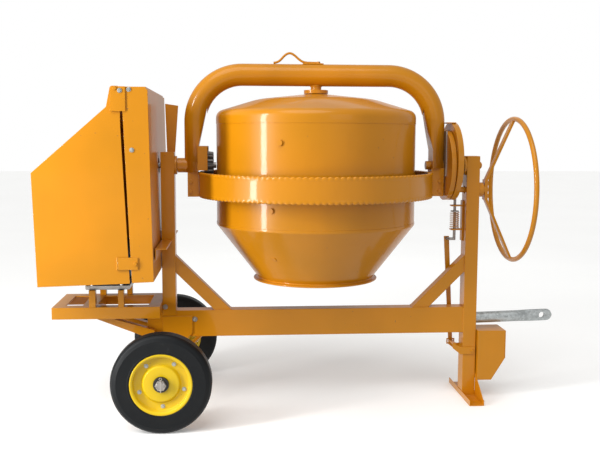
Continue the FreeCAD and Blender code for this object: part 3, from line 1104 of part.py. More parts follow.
def build_tilting():
    across = (0, "tilt_axis_height")
    bore = "journal_radius + running_clearance"
    bush = tube("bush_radius", bore, "X", ("left_post_outer + 2", "left_post_inner"), across)
    flange = tube("bearing_flange/2", bore, "X", ("left_post_inner", "left_post_inner + bearing_flange_thickness"), across)
    piece("left_bearing", fuse(bush, flange))
    bush = tube("bush_radius", bore, "X", ("-post_half", "post_half"), across)
    flange_end = "-post_half - bearing_flange_thickness"
    flange = tube("bearing_flange/2", bore, "X", (flange_end, "-post_half"), across)
    sleeve = tube("sleeve_diameter/2", "shaft_radius + running_clearance", "X",
                  ("post_half", "post_half + sleeve_length"), (0, "handwheel_axis"))
    piece("right_bearing", fuse(bush, flange, sleeve))

    gear = free_shape(spur_gear(int(size("tilt_teeth")), size("tilt_module"), size("-tilt_gear_left"),
                                size("tilt_gear_width"), size("tilt_axis_height"), -math.pi / 2, size("journal_radius")))
    disc_span = ("-lock_plane - lock_disc_thickness/2", "-lock_plane + lock_disc_thickness/2")
    disc = tube("lock_disc_radius", "journal_radius", "X", disc_span, across)
    hub = tube("44", "journal_radius", "X", ("-tilt_gear_left", disc_span[1]), across)
    notches = []
    for turn in ("0", "-tilt_limit", "tilt_limit"):
        notch = doc.addObject("Part::Box", "Notch")
        notch.Placement = FreeCAD.Placement(FreeCAD.Vector(), FreeCAD.Rotation(FreeCAD.Vector(1, 0, 0), 1))
        bind(notch, "Length", "lock_disc_thickness + 4")
        bind(notch, "Width", "lock_pin_diameter + 2")
        bind(notch, "Height", "34")
        bind(notch, "Placement.Rotation.Angle", f"360 + {turn}")
        side = "(lock_offset - pin_radius - 1)"
        drop = "(-lock_disc_radius - 6)"
        bind_place(notch, f"{disc_span[0]} - 2", f"{side}*cos({turn}) - {drop}*sin({turn})",
                   f"tilt_axis_height + {side}*sin({turn}) + {drop}*cos({turn})")
        notches.append(notch)
    piece("tilt_gear", cut(fuse(gear, disc, hub), *notches))

    pinion = spur_gear(int(size("handwheel_teeth")), size("tilt_module"), size("-tilt_gear_left - 1"),
                       size("tilt_gear_width + 2"), size("handwheel_axis"), -math.pi / 2, size("shaft_radius"))
    piece("tilt_pinion", free_shape(pinion))

    wheel_line = (0, "handwheel_axis")
    cover = (0, "cover_axis")
    outer = rod("cover_radius", "X", ("-cover_left", "cover_right"), cover)
    inner = rod("cover_radius - sheet_wall", "X", ("-cover_left + sheet_wall", "cover_right - sheet_wall"), cover)
    mouth = rod("54", "X", ("-cover_left - 1", "-cover_left + 10"), across)
    back = rod("46", "X", ("cover_right - 10", "cover_right + 1"), across)
    shaft_hole = rod("shaft_radius + 3", "X", ("cover_right - 10", "cover_right + 1"), wheel_line)
    pin_hole = rod("pin_radius + 1.5", "Z", ("cover_axis - cover_radius - 5", "cover_axis - cover_radius + 12"),
                   ("-lock_plane", "lock_offset"))
    lip = box(("right_leg_outer + 2", "-cover_left + 22"), both_sides("60"),
              ("cover_axis + cover_radius - 6", "cover_axis + cover_radius"))
    # A bracket on the far side of the post carries the cover, clear of the lock disc.
    tall = ("tilt_axis_height - 50", "tilt_axis_height + 50")
    arm = box(("cover_right - 1", "-post_half - 2"), ("130", "142"), tall)
    foot = cut(box(("-post_half - 6", "-post_half"), ("-post_face + 20", "142"), tall),
               rod("bearing_flange/2 + 1", "X", ("-post_half - 10", "-post_half + 5"), across))
    piece("gear_cover", cut(fuse(cut(outer, inner), cut(lip, inner), arm, foot), mouth, back, shaft_hole, pin_hole))

    hub = "handwheel_hub_plane"
    shaft = rod("shaft_radius", "X", ("-tilt_gear_left - 1", f"{hub} + 14"), wheel_line)
    boss = rod("26", "X", ("post_half + sleeve_length + 1", hub), wheel_line)
    plate_block = box((f"{hub} - 8", hub), both_sides("25"), ("handwheel_axis - 55", "handwheel_axis + 55"))
    piece("handwheel_shaft", fuse(shaft, boss, plate_block))

    rim = doc.addObject("Part::Torus", "Rim")
    rim.Placement = FreeCAD.Placement(FreeCAD.Vector(), TURNED["X"])
    bind(rim, "Radius1", "handwheel_radius - handwheel_tube/2")
    bind(rim, "Radius2", "handwheel_tube/2")
    bind_place(rim, "handwheel_plane", 0, "handwheel_axis")
    piece("handwheel_rim", rim)
    left = hub
    right = f"{hub} + spoke_thickness"
    tip = "handwheel_radius - handwheel_tube/2"
    corners = []
    for side, order in ((-1, 1), (1, -1)):
        half = [(left, f"handwheel_axis + {side}*57", 4), ("handwheel_plane - 4", f"handwheel_axis + {side}*({tip})"),
                ("handwheel_plane + 4", f"handwheel_axis + {side}*({tip} - 3)"),
                (right, f"handwheel_axis + {side}*53", 4)]
        corners += half[::order]
    bar = plate("XZ", corners, both_sides("spoke_width/2"))
    bolts = [rod("9", "X", (right, f"{right} + 9"), (0, f"handwheel_axis + {side}*34")) for side in (-1, 1)]
    hole = rod("shaft_radius", "X", (f"{left} - 5", f"{right} + 5"), wheel_line)
    piece("handwheel_spokes", fuse(cut(bar, hole, rim), *bolts))


def build_lock():
    spot = ("-lock_plane", "lock_offset")
    tabs = []
    for height in ("lock_arm_height + 49", "lock_arm_height + 178"):
        tabs.append(box(("-lock_plane - 24", "-post_half"), ("lock_offset - 23", "post_face - 2"), (height, f"{height} + 8")))
    back = box(("-post_half - 8", "-post_half"), ("lock_offset - 23", "post_face - 2"),
               ("lock_arm_height - 8", "cover_axis - cover_radius - 4"))
    guide = rod("pin_radius + running_clearance", "Z", ("lock_arm_height", "cover_axis"), spot)
    piece("lock_bracket", cut(fuse(back, *tabs), guide))
    pin = rod("pin_radius", "Z", ("lock_arm_height - 7", "pin_top"), spot)
    collar = rod("spring_radius + 2", "Z", ("lock_arm_height + 148", "lock_arm_height + 154"), spot)
    link_line = "(beam_side + 14)"
    arm = free_shape(bent_rod([("-lock_plane", "lock_offset", "lock_arm_height"),
                               ("-lock_plane - 24", "lock_offset", "lock_arm_height"),
                               ("-lock_plane - 35", f"{link_line} + 6", "lock_arm_height")],
                              size("pin_radius"), 10))
    piece("lock_pin", fuse(pin, collar, arm))

    helix = doc.addObject("Part::Helix", "Coil")
    bind(helix, "Radius", "spring_radius")
    bind(helix, "Height", "148 - 57 - spring_wire - 1")
    bind(helix, "Pitch", "(148 - 57 - spring_wire - 1)/spring_turns")
    bind_place(helix, "-lock_plane", "lock_offset", "lock_arm_height + 57 + spring_wire/2 + 0.5")
    doc.recompute()
    wire = Part.Wire(helix.Shape.Edges)
    first = wire.Vertexes[0].Point
    section = Part.Wire([Part.Circle(first, FreeCAD.Vector(0, 1, 0.12), size("spring_wire/2")).toShape()])
    piece("lock_spring", free_shape(wire.makePipeShell([section], True, True)))

    # The link hangs from the pin's arm behind the beam and meets the pedal's far arm.
    corners = [("-lock_plane - 49", "lock_arm_height + 12"), ("-lock_plane - 21", "lock_arm_height + 12"),
               ("-pedal_reach + 11", "pedal_height + 16"), ("-pedal_reach - 11", "pedal_height + 16")]
    bar = plate("XZ", corners, (link_line, f"{link_line} + 8"))
    arm_hole = rod("pin_radius", "Y", ("lock_offset", "post_depth"), ("-lock_plane - 35", "lock_arm_height"))
    slot = box(("-pedal_reach - 16", "-pedal_reach + 16"), (f"{link_line} - 2", f"{link_line} + 10"),
               ("pedal_height + 20", "pedal_height + 38"))
    lug = box(("-pedal_reach - 22", "-pedal_reach + 22"), (link_line, f"{link_line} + 8"),
              ("pedal_height + 13", "pedal_height + 44"))
    piece("pull_link", cut(fuse(bar, lug), arm_hole, slot, free_shape(arm.Shape)))

    inner = "post_face + 0.6"
    outer = f"{inner} + pedal_thickness"
    bars = []
    for ends in ((f"-({outer})", f"-({inner})"), (inner, outer)):
        corners = [("-pedal_reach - 14", "pedal_height + 14"), ("-pedal_reach - 14", "pedal_height + 42"),
                   ("-post_half - 14", "pedal_height + pedal_bar/2"), ("post_half - 3", "pedal_height + pedal_bar/2"),
                   ("post_half - 3", "pedal_height - pedal_bar/2"), ("-post_half - 14", "pedal_height - pedal_bar/2")]
        bars.append(plate("XZ", corners, ends))
    tread = box(("-pedal_reach - 14", "-pedal_reach + 6"), both_sides(inner), ("pedal_height + 34", "pedal_height + 42"))
    pivot = rod("7.5", "Y", both_sides(f"{outer} + 8"), (15, "pedal_height"))
    stud = rod("5", "Y", (outer, f"{link_line} + 12"), ("-pedal_reach", "pedal_height + 29"))
    piece("foot_pedal", fuse(*bars, tread, pivot, stud))


def check_and_write():
    doc.recompute()
    failed = [thing.Label for thing in doc.Objects if "Invalid" in thing.State or "Error" in thing.State]
    for thing in PIECES:
        if thing.Shape.isNull() or not thing.Shape.isValid() or not thing.Shape.Solids:
            failed.append(thing.Label)
    if failed:
        raise RuntimeError("not built: " + ", ".join(sorted(set(failed))))
    os.makedirs("parts", exist_ok=True)
    for thing in PIECES:
        thing.Shape.exportStep(os.path.join("parts", thing.Label + ".step"))
    print(len(PIECES), "pieces written")


build_frame()
build_towbar()
build_toolbox()
build_axle()
build_wheel("near", -1)
build_wheel("far", 1)
build_engine_table()
build_cabin()
build_drive()
build_drum()
build_yoke()
build_tilting()
build_lock()
check_and_write()
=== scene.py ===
import json
import math
import random

import bmesh
import bpy
from mathutils import Matrix, Vector


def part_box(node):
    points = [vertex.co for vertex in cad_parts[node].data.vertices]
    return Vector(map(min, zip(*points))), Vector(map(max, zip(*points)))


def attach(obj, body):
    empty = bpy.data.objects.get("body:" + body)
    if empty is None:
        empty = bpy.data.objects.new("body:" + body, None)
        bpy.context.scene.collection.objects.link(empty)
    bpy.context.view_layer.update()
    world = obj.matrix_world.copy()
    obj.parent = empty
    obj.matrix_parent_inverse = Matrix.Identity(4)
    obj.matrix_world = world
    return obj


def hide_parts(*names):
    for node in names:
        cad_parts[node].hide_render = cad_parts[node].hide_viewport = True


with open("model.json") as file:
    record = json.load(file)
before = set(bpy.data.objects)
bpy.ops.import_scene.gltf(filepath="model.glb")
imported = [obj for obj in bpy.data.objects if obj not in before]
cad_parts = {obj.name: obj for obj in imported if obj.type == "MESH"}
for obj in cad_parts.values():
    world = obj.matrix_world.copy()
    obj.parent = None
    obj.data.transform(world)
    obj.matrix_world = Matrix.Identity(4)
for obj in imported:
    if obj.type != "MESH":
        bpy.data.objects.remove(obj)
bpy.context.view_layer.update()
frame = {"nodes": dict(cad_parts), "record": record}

bl_info = {
    "name": "Tilting drum concrete mixer",
    "version": (1, 0, 0),
    "blender": (4, 5, 0),
    "location": "3D View > Sidebar > Mixer",
    "description": "Rounds off, details and paints the pieces of a towable concrete mixer",
    "category": "Object",
}

MM = 0.001
FULL_TURN = 2 * math.pi
X, Y, Z = Vector((1, 0, 0)), Vector((0, 1, 0)), Vector((0, 0, 1))

BODY_OF = {node: body for body, nodes in frame["record"]["behaviour"]["bodies"].items() for node in nodes}
SLOT_OF = {part["node"]: part["material_slot"] for part in frame["record"]["subparts"]}


def middle(node):
    """The centre of a node's box."""
    low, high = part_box(node)
    return (Vector(low) + Vector(high)) / 2


DRUM_AXIS = middle("drum_hub")
AXLE = middle("axle_shaft")


# ---- sizes and colours that a user would change ----

def colour(name, description, value):
    """A colour that a user can set."""
    return bpy.props.FloatVectorProperty(name=name, description=description, default=value,
                                         subtype="COLOR", size=3, min=0, max=1)


def length(name, description, value):
    """A length in metres that a user can set."""
    return bpy.props.FloatProperty(name=name, description=description, default=value,
                                   min=0, unit="LENGTH", subtype="DISTANCE")


class MixerColours(bpy.types.PropertyGroup):
    """The base colour of each finish."""
    orange_paint: colour("Machine paint", "Enamel on the frame, drum and hood", (0.56, 0.215, 0.003))
    yellow_paint: colour("Wheel paint", "Enamel on the two rims", (0.70, 0.47, 0.006))
    solid_rubber: colour("Tyre rubber", "Solid tyres", (0.0045, 0.0055, 0.0065))
    black_iron: colour("Black iron", "Hubs, washers and pulleys", (0.018, 0.018, 0.020))
    galvanised_steel: colour("Galvanised steel", "Towbar and bolts", (0.50, 0.53, 0.53))
    bare_steel: colour("Bare steel", "Shafts, spring and pins", (0.33, 0.31, 0.29))
    gear_iron: colour("Gear iron", "Ring gear and pinions", (0.16, 0.155, 0.15))
    motor_paint: colour("Motor paint", "Motor housing", (0.055, 0.13, 0.19))
    belt_rubber: colour("Belt rubber", "Drive belts", (0.022, 0.022, 0.022))
    floor: colour("Floor", "Studio floor", (0.86, 0.86, 0.85))


class MixerSizes(bpy.types.PropertyGroup):
    """The sizes of what is added to the CAD shapes."""
    edge: length("Edge radius", "Rounding of cut and folded edges", 1.2 * MM)
    weld: length("Weld bead", "Half width of a weld bead", 4.0 * MM)
    lap: length("Seam step", "Height of a lapped drum seam", 1.6 * MM)
    mouth_bead: length("Mouth bead", "Radius of the rolled drum mouth", 4.5 * MM)
    spoke_swell: length("Spoke swell", "How much the flat spokes are thickened", 3.5 * MM)
    rim_tube: length("Handwheel tube", "Radius of the handwheel's rim", 13 * MM)
    spring_wire: length("Spring wire", "Radius of the spring's wire", 2.4 * MM)
    loop_rod: length("Lifting rod", "Radius of the lifting loop's rod", 6 * MM)
    crimps: bpy.props.IntProperty(name="Crimps", description="Crimps round the ring guard",
                                  default=132, min=12)
    crimp_depth: length("Crimp depth", "How far each crimp sinks", 5 * MM)


class MixerStudio(bpy.types.PropertyGroup):
    """The camera and the lights."""
    lens: bpy.props.FloatProperty(name="Lens", description="Focal length in millimetres", default=49.84)
    place: bpy.props.FloatVectorProperty(name="Camera", description="Where the camera stands", size=3,
                                         default=(-1.25284, -4.37624, 1.40441), subtype="XYZ", unit="LENGTH")
    yaw: bpy.props.FloatProperty(name="Turn", description="Turn toward +X", default=0.0760, subtype="ANGLE")
    pitch: bpy.props.FloatProperty(name="Dip", description="Dip below level", default=0.106, subtype="ANGLE")
    roll: bpy.props.FloatProperty(name="Roll", description="Roll about the view", default=-0.003,
                                  subtype="ANGLE")
    key: bpy.props.FloatProperty(name="Key light", description="Strength of the high soft light", default=1.3)
    strip: bpy.props.FloatProperty(name="Strip light", description="Power of the strip light", default=130,
                                   unit="POWER")
    fill: bpy.props.FloatProperty(name="Fill light", description="Power of the fill light", default=12,
                                  unit="POWER")
    sky: bpy.props.FloatProperty(name="Room", description="Light from the room itself", default=0.55)


# ---- shader maths ----

class Wire:
    """A socket in a finish; arithmetic on it adds Math nodes."""

    def __init__(self, finish, socket):
        self.finish, self.socket = finish, socket

    def maths(self, operation, *values):
        return self.finish.add("ShaderNodeMath", {"operation": operation}, dict(enumerate(values)))

    def __add__(self, other):
        return self.maths("ADD", self, other)

    __radd__ = __add__

    def __sub__(self, other):
        return self.maths("SUBTRACT", self, other)

    def __rsub__(self, other):
        return self.maths("SUBTRACT", other, self)

    def __mul__(self, other):
        return self.maths("MULTIPLY", self, other)

    __rmul__ = __mul__


class Finish:
    """A material under construction."""

    def __init__(self, name):
        self.material = bpy.data.materials.new(name)
        self.material.use_nodes = True
        self.tree = self.material.node_tree
        self.shader = self.tree.nodes["Principled BSDF"]
        self.place = self.add("ShaderNodeTexCoord", output="Object")
        self.facing = self.add("ShaderNodeTexCoord", output="Normal")

    def add(self, kind, settings=(), inputs=(), output=0):
        """Adds any node: its settings first, then the values or wires of its inputs."""
        node = self.tree.nodes.new(kind)
        for key, value in dict(settings).items():
            setattr(node, key, value)
        for key, value in dict(inputs).items():
            if isinstance(value, Wire):
                self.tree.links.new(value.socket, node.inputs[key])
            else:
                node.inputs[key].default_value = value
        return Wire(self, node.outputs[output])

    def noise(self, scale, detail=3.0, roughness=0.5, place=None):
        """Cloudy noise, from 0 to 1."""
        return self.add("ShaderNodeTexNoise", {}, {"Vector": place or self.place, "Scale": scale,
                                                   "Detail": detail, "Roughness": roughness})

    def cells(self, scale, output="Color"):
        """Angular cells, each with a colour of its own."""
        return self.add("ShaderNodeTexVoronoi", {}, {"Vector": self.place, "Scale": scale}, output)

    def span(self, value, low, high):
        """0 below low, 1 above high, and smooth between."""
        return self.add("ShaderNodeMapRange", {"interpolation_type": "SMOOTHSTEP"},
                        {"Value": value, "From Min": low, "From Max": high})

    def mix(self, share, first, second):
        """A blend of two colours: the first at 0, the second at 1."""
        return self.add("ShaderNodeMix", {"data_type": "RGBA"}, {0: share, 6: first, 7: second}, 2)

    def stretched(self, *scale):
        """The object's coordinates, scaled along X, Y and Z."""
        return self.add("ShaderNodeMapping", {}, {"Vector": self.place, "Scale": scale})

    def up(self):
        """How far the surface faces the sky, from 0 to 1."""
        height = self.add("ShaderNodeSeparateXYZ", {}, {0: self.facing}, "Z")
        return self.span(height, 0.55, 1.0)

    def edges(self, low, high):
        """1 on outer edges and corners, 0 elsewhere."""
        return self.span(self.add("ShaderNodeNewGeometry", output="Pointiness"), low, high)

    def bump(self, height, depth, strength=1.0, below=None):
        """Relief from a height, over the relief below it."""
        inputs = {"Height": height, "Distance": depth, "Strength": strength}
        if below:
            inputs["Normal"] = below
        return self.add("ShaderNodeBump", {}, inputs)

    def surface(self, **sockets):
        """Sets the shader's sockets: numbers directly, wires as links."""
        for name, value in sockets.items():
            socket = self.shader.inputs[name.replace("_", " ")]
            if isinstance(value, Wire):
                self.tree.links.new(value.socket, socket)
            else:
                socket.default_value = value
        return self.material


def shade(rgb, factor, warm=0.0):
    """A lighter or darker version of a colour, with its alpha."""
    red, green, blue = rgb
    return (min(1, red * factor * (1 + warm)), min(1, green * factor), min(1, blue * factor * (1 - warm)), 1)


def enamel(name, rgb, gloss=0.30, waves=0.0006):
    """Sprayed enamel: orange peel, uneven coat, thin dust on top and small chips."""
    f = Finish(name)
    thick = f.noise(2.1, 3)
    runs = f.noise(5.0, 4, 0.6, f.stretched(1, 1, 0.3))
    peel = f.noise(330, 2)
    wavy = f.noise(7, 1)
    coat = f.mix(f.span(thick, 0.3, 0.7), shade(rgb, 0.94, -0.02), shade(rgb, 1.05, 0.02))
    coat = f.mix(f.span(runs, 0.52, 0.74) * 0.30, coat, shade(rgb, 0.84, 0.05))
    dust = f.up() * f.span(f.noise(9, 5, 0.7), 0.42, 0.75) * 0.14
    coat = f.mix(dust, coat, (0.55, 0.43, 0.29, 1))
    chips = f.span(f.noise(70, 2, 0.6), 0.735, 0.76) * f.span(f.noise(2.7, 2), 0.52, 0.60)
    worn = f.edges(0.56, 0.66) * f.span(f.noise(38, 4, 0.7), 0.56, 0.66)
    bare = chips.maths("MAXIMUM", chips, worn * 0.7)
    coat = f.mix(bare, coat, (0.16, 0.10, 0.06, 1))
    rough = gloss + thick * 0.08 + dust * 0.9 + bare * 0.3
    ripple = f.bump(wavy, waves, 0.6)
    grain = f.bump(peel - bare * 2.0, 0.00005, 0.35, ripple)
    return f.surface(Base_Color=coat, Roughness=rough, Coat_Weight=0.30 - bare * 0.25, Coat_Roughness=0.06,
                     Metallic=bare * 0.6, Normal=grain, Specular_IOR_Level=0.22)


def rubber(name, rgb, shine=0.42):
    """Moulded rubber with patches of pale dust."""
    f = Finish(name)
    cloud = f.noise(6, 4, 0.6)
    fine = f.noise(260, 3)
    dust = f.span(cloud, 0.42, 0.75) * 0.35 + f.span(f.noise(45, 4), 0.55, 0.8) * 0.25
    tone = f.mix(dust * 0.22, (*rgb, 1), (0.045, 0.043, 0.040, 1))
    scuff = f.span(f.noise(22, 4, 0.7, f.stretched(1, 5, 1)), 0.64, 0.74)
    tone = f.mix(scuff * 0.25, tone, (0.05, 0.05, 0.05, 1))
    return f.surface(Base_Color=tone, Roughness=shine + dust * 0.3 + scuff * 0.15, Specular_IOR_Level=0.2,
                     Normal=f.bump(fine, 0.00012, 0.4))


def galvanised(name, rgb):
    """Hot-dip zinc: angular crystals of slightly different greys."""
    f = Finish(name)
    crystal = f.add("ShaderNodeSeparateColor", {}, {0: f.cells(95)})
    fleck = f.add("ShaderNodeSeparateColor", {}, {0: f.cells(240)})
    dull = f.noise(8, 4, 0.6)
    tone = f.mix(crystal * 0.75, shade(rgb, 0.62), shade(rgb, 1.15))
    tone = f.mix(fleck * 0.25, tone, shade(rgb, 0.75))
    tone = f.mix(f.span(dull, 0.5, 0.75) * 0.5, tone, (0.34, 0.36, 0.33, 1))
    return f.surface(Base_Color=tone, Metallic=0.85 - dull * 0.25,
                     Roughness=0.28 + crystal * 0.2 + dull * 0.12,
                     Normal=f.bump(crystal, 0.0001, 0.25))


def metal(name, rgb, brushed=(40, 900, 900), roughness=0.32, metallic=0.9, stain=(0.16, 0.075, 0.035),
          rust=0.35):
    """Bare or blackened iron: tool marks, oil shading and a little rust."""
    f = Finish(name)
    marks = f.noise(1, 3, 0.6, f.stretched(*brushed))
    cloud = f.noise(11, 4, 0.6)
    tone = f.mix(cloud, shade(rgb, 0.72), shade(rgb, 1.25))
    spots = f.span(f.noise(34, 5, 0.7), 0.57, 0.70) * rust
    tone = f.mix(spots, tone, (*stain, 1))
    bright = f.edges(0.54, 0.62) * 0.4
    tone = f.mix(bright, tone, shade(rgb, 2.0))
    return f.surface(Base_Color=tone, Metallic=metallic - spots * 0.7,
                     Roughness=roughness + marks * 0.16 + spots * 0.35,
                     Normal=f.bump(marks, 0.00004, 0.35))


def concrete_floor(name, rgb):
    """A pale, even floor with faint clouds."""
    f = Finish(name)
    cloud = f.noise(0.7, 5, 0.6)
    grain = f.noise(60, 3)
    tone = f.mix(f.span(cloud, 0.3, 0.7), shade(rgb, 0.985), shade(rgb, 1.01))
    return f.surface(Base_Color=tone, Roughness=0.72 + grain * 0.1,
                     Emission_Color=tone, Emission_Strength=0.2,
                     Normal=f.bump(grain, 0.0002, 0.1))


MAKERS = {
    "orange_paint": enamel,
    "yellow_paint": lambda name, rgb: enamel(name, rgb, 0.26),
    "motor_paint": lambda name, rgb: enamel(name, rgb, 0.40),
    "solid_rubber": rubber,
    "belt_rubber": lambda name, rgb: rubber(name, rgb, 0.6),
    "galvanised_steel": galvanised,
    "bare_steel": metal,
    "gear_iron": lambda name, rgb: metal(name, rgb, (300, 300, 300), 0.36, 0.8),
    "black_iron": lambda name, rgb: metal(name, rgb, (220, 220, 220), 0.34, 0.35, rust=0.15),
    "floor": concrete_floor,
}


def finish(name):
    """The named finish, made the first time it is asked for."""
    material = bpy.data.materials.get("finish_" + name)
    if material is None:
        material = MAKERS[name]("finish_" + name, tuple(getattr(bpy.context.scene.mixer_colours, name)))
    return material


# ---- mesh helpers ----

def piece(name, bm, body, slot, replaces=(), sharp=None, even=False):
    """Turns a bmesh into a piece that rides on a body, with its finish."""
    mesh = bpy.data.meshes.new(name)
    bm.to_mesh(mesh)
    bm.free()
    thing = bpy.data.objects.new(name, mesh)
    bpy.context.scene.collection.objects.link(thing)
    mesh.materials.append(finish(slot))
    mesh.shade_smooth()
    if sharp:
        mesh.set_sharp_from_angle(angle=math.radians(sharp))
    if even:
        normals = thing.modifiers.new("Even normals", "WEIGHTED_NORMAL")
        normals.keep_sharp = True
    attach(thing, body)
    if replaces:
        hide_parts(*replaces)
    return thing


def copied(node):
    """A CAD node's mesh with its loose triangles joined and its flats made whole."""
    bm = bmesh.new()
    bm.from_mesh(frame["nodes"][node].data)
    bmesh.ops.remove_doubles(bm, verts=bm.verts, dist=0.02 * MM)
    bmesh.ops.dissolve_limit(bm, angle_limit=math.radians(0.4), verts=bm.verts, edges=bm.edges)
    return bm


def round_edges(bm, radius, turn=30, segments=2, chosen=None):
    """Rounds the edges that turn by more than an angle in degrees."""
    edges = [e for e in bm.edges if len(e.link_faces) == 2 and e.calc_face_angle(0) > math.radians(turn)
             and (chosen is None or chosen(e))]
    bmesh.ops.bevel(bm, geom=edges, offset=radius, offset_type="OFFSET", segments=segments, profile=0.5,
                    affect="EDGES", material=-1, clamp_overlap=False)
    return bm


def softened(node, radius, segments=2, turn=30):
    """A rounded-off copy that stands for a CAD node."""
    bm = round_edges(copied(node), radius, turn, segments)
    return piece(node + "_finished", bm, BODY_OF[node], SLOT_OF[node], (node,), sharp=50, even=True)


def smoothed(node, sharp=32):
    """A copy with smooth round faces and its edges left crisp."""
    return piece(node + "_finished", copied(node), BODY_OF[node], SLOT_OF[node], (node,), sharp=sharp)


def arc_corners(points, steps=6):
    """Outline points with the given corners rounded: (x, y) or (x, y, radius)."""
    result = []
    count = len(points)
    for i, point in enumerate(points):
        if len(point) < 3:
            result.append(Vector(point))
            continue
        here = Vector(point[:2])
        back = (Vector(points[i - 1][:2]) - here).normalized()
        on = (Vector(points[(i + 1) % count][:2]) - here).normalized()
        half = math.acos(max(-1, min(1, back.dot(on)))) / 2
        reach = point[2] / math.tan(half)
        centre = here + (back + on).normalized() * (point[2] / math.sin(half))
        start, end = here + back * reach - centre, here + on * reach - centre
        sweep = start.angle_signed(end)
        for k in range(steps + 1):
            turned = start.copy()
            turned.rotate(Matrix.Rotation(-sweep * k / steps, 2))
            result.append(centre + turned)
    return result


def in_metres(outline, steps):
    """An outline given in millimetres, with its corners rounded."""
    return [(r * MM, h * MM) for r, h in arc_corners(outline, steps)]


def spun(bm, outline, centre, axis, steps=96):
    """Spins a closed outline of (radius, height) points round an axis through centre."""
    side = X if axis != X else Z
    verts = [bm.verts.new(centre + side * r + axis * h) for r, h in outline]
    edges = [bm.edges.new(pair) for pair in zip(verts, verts[1:] + verts[:1])]
    bmesh.ops.spin(bm, geom=verts + edges, cent=centre, axis=axis, dvec=(0, 0, 0), angle=FULL_TURN,
                   steps=steps, use_merge=True, use_duplicate=False)
    bmesh.ops.remove_doubles(bm, verts=bm.verts, dist=0.01 * MM)
    bmesh.ops.recalc_face_normals(bm, faces=bm.faces)


def ring_outline(major, minor, rise=0.0, sides=12):
    """A small circle of (radius, height) points, which spins into a ring."""
    return [(major + minor * math.cos(FULL_TURN * k / sides), rise + minor * math.sin(FULL_TURN * k / sides))
            for k in range(sides)]


def facing(axis, place):
    """A matrix that stands +Z along an axis at a place."""
    return Matrix.Translation(place) @ Vector(axis).to_track_quat("Z", "Y").to_matrix().to_4x4()


def add_bolt(bm, place, axis, across, height, turn=0.0):
    """A hexagon head with a chamfered top and a washer under it; across is its flats' half width."""
    stand = facing(axis, place) @ Matrix.Rotation(turn, 4, "Z")
    base = 1.6 * MM
    bmesh.ops.create_cone(bm, cap_ends=True, segments=20, radius1=across * 1.75, radius2=across * 1.65,
                          depth=base, matrix=stand @ Matrix.Translation((0, 0, base / 2)))
    head = bmesh.ops.create_cone(bm, cap_ends=True, segments=6, radius1=across * 1.15, radius2=across * 1.15,
                                 depth=height, matrix=stand @ Matrix.Translation((0, 0, base + height / 2)))
    top = stand @ Vector((0, 0, base + height))
    along = (stand.to_3x3() @ Z).normalized()
    rim = [e for e in {e for v in head["verts"] for e in v.link_edges}
           if all(abs((v.co - top).dot(along)) < 0.01 * MM for v in e.verts)]
    bmesh.ops.bevel(bm, geom=rim, offset=height * 0.16, offset_type="OFFSET", segments=1, profile=0.5,
                    affect="EDGES", material=-1, clamp_overlap=True)


def add_bead(bm, start, end, radius, seed=0):
    """A weld bead with its ripples, from start to end."""
    start, end = Vector(start), Vector(end)
    run = end - start
    steps = max(3, int(run.length / (radius * 0.55)))
    ring = bmesh.ops.create_circle(bm, cap_ends=False, segments=7, radius=radius, matrix=facing(run, start))
    edges = list({e for v in ring["verts"] for e in v.link_edges})
    bmesh.ops.spin(bm, geom=ring["verts"] + edges, cent=start, axis=run, dvec=run / steps, angle=0,
                   steps=steps, use_merge=False, use_duplicate=False)
    chance = random.Random(seed)
    way = run.normalized()
    sizes = [(0.55 if k in (0, steps) else 0.9 + 0.16 * (k % 2)) * chance.uniform(0.9, 1.08)
             for k in range(steps + 1)]
    seen, front = set(ring["verts"]), list(ring["verts"])
    while front:
        for e in front.pop().link_edges:
            for v in e.verts:
                if v not in seen:
                    seen.add(v)
                    front.append(v)
    for v in seen:
        far = (v.co - start).dot(way)
        centre = start + way * far
        v.co = centre + (v.co - centre) * sizes[max(0, min(steps, round(far / run.length * steps)))]


def add_bead_loop(bm, corners, radius, seed=0):
    """Weld beads round a closed row of corners."""
    for k, (a, b) in enumerate(zip(corners, corners[1:] + corners[:1])):
        add_bead(bm, a, b, radius, seed + k)


def bent(name, body, slot, replaces, radius, points):
    """A round rod along a smooth curve through its control points."""
    curve = bpy.data.curves.new(name, "CURVE")
    curve.dimensions, curve.bevel_depth, curve.bevel_resolution, curve.use_fill_caps = "3D", radius, 4, True
    line = curve.splines.new("NURBS")
    line.points.add(len(points) - 1)
    for knot, point in zip(line.points, points):
        knot.co = (*point, 1)
    line.order_u, line.use_endpoint_u, line.resolution_u = 4, True, 10
    guide = bpy.data.objects.new(name, curve)
    bpy.context.scene.collection.objects.link(guide)
    made = bpy.data.meshes.new_from_object(guide.evaluated_get(bpy.context.evaluated_depsgraph_get()))
    bm = bmesh.new()
    bm.from_mesh(made)
    bpy.data.objects.remove(guide)
    bpy.data.curves.remove(curve)
    bpy.data.meshes.remove(made)
    bmesh.ops.remove_doubles(bm, verts=bm.verts, dist=0.05 * MM)
    bmesh.ops.recalc_face_normals(bm, faces=bm.faces)
    return piece(name, bm, body, slot, replaces, sharp=45)


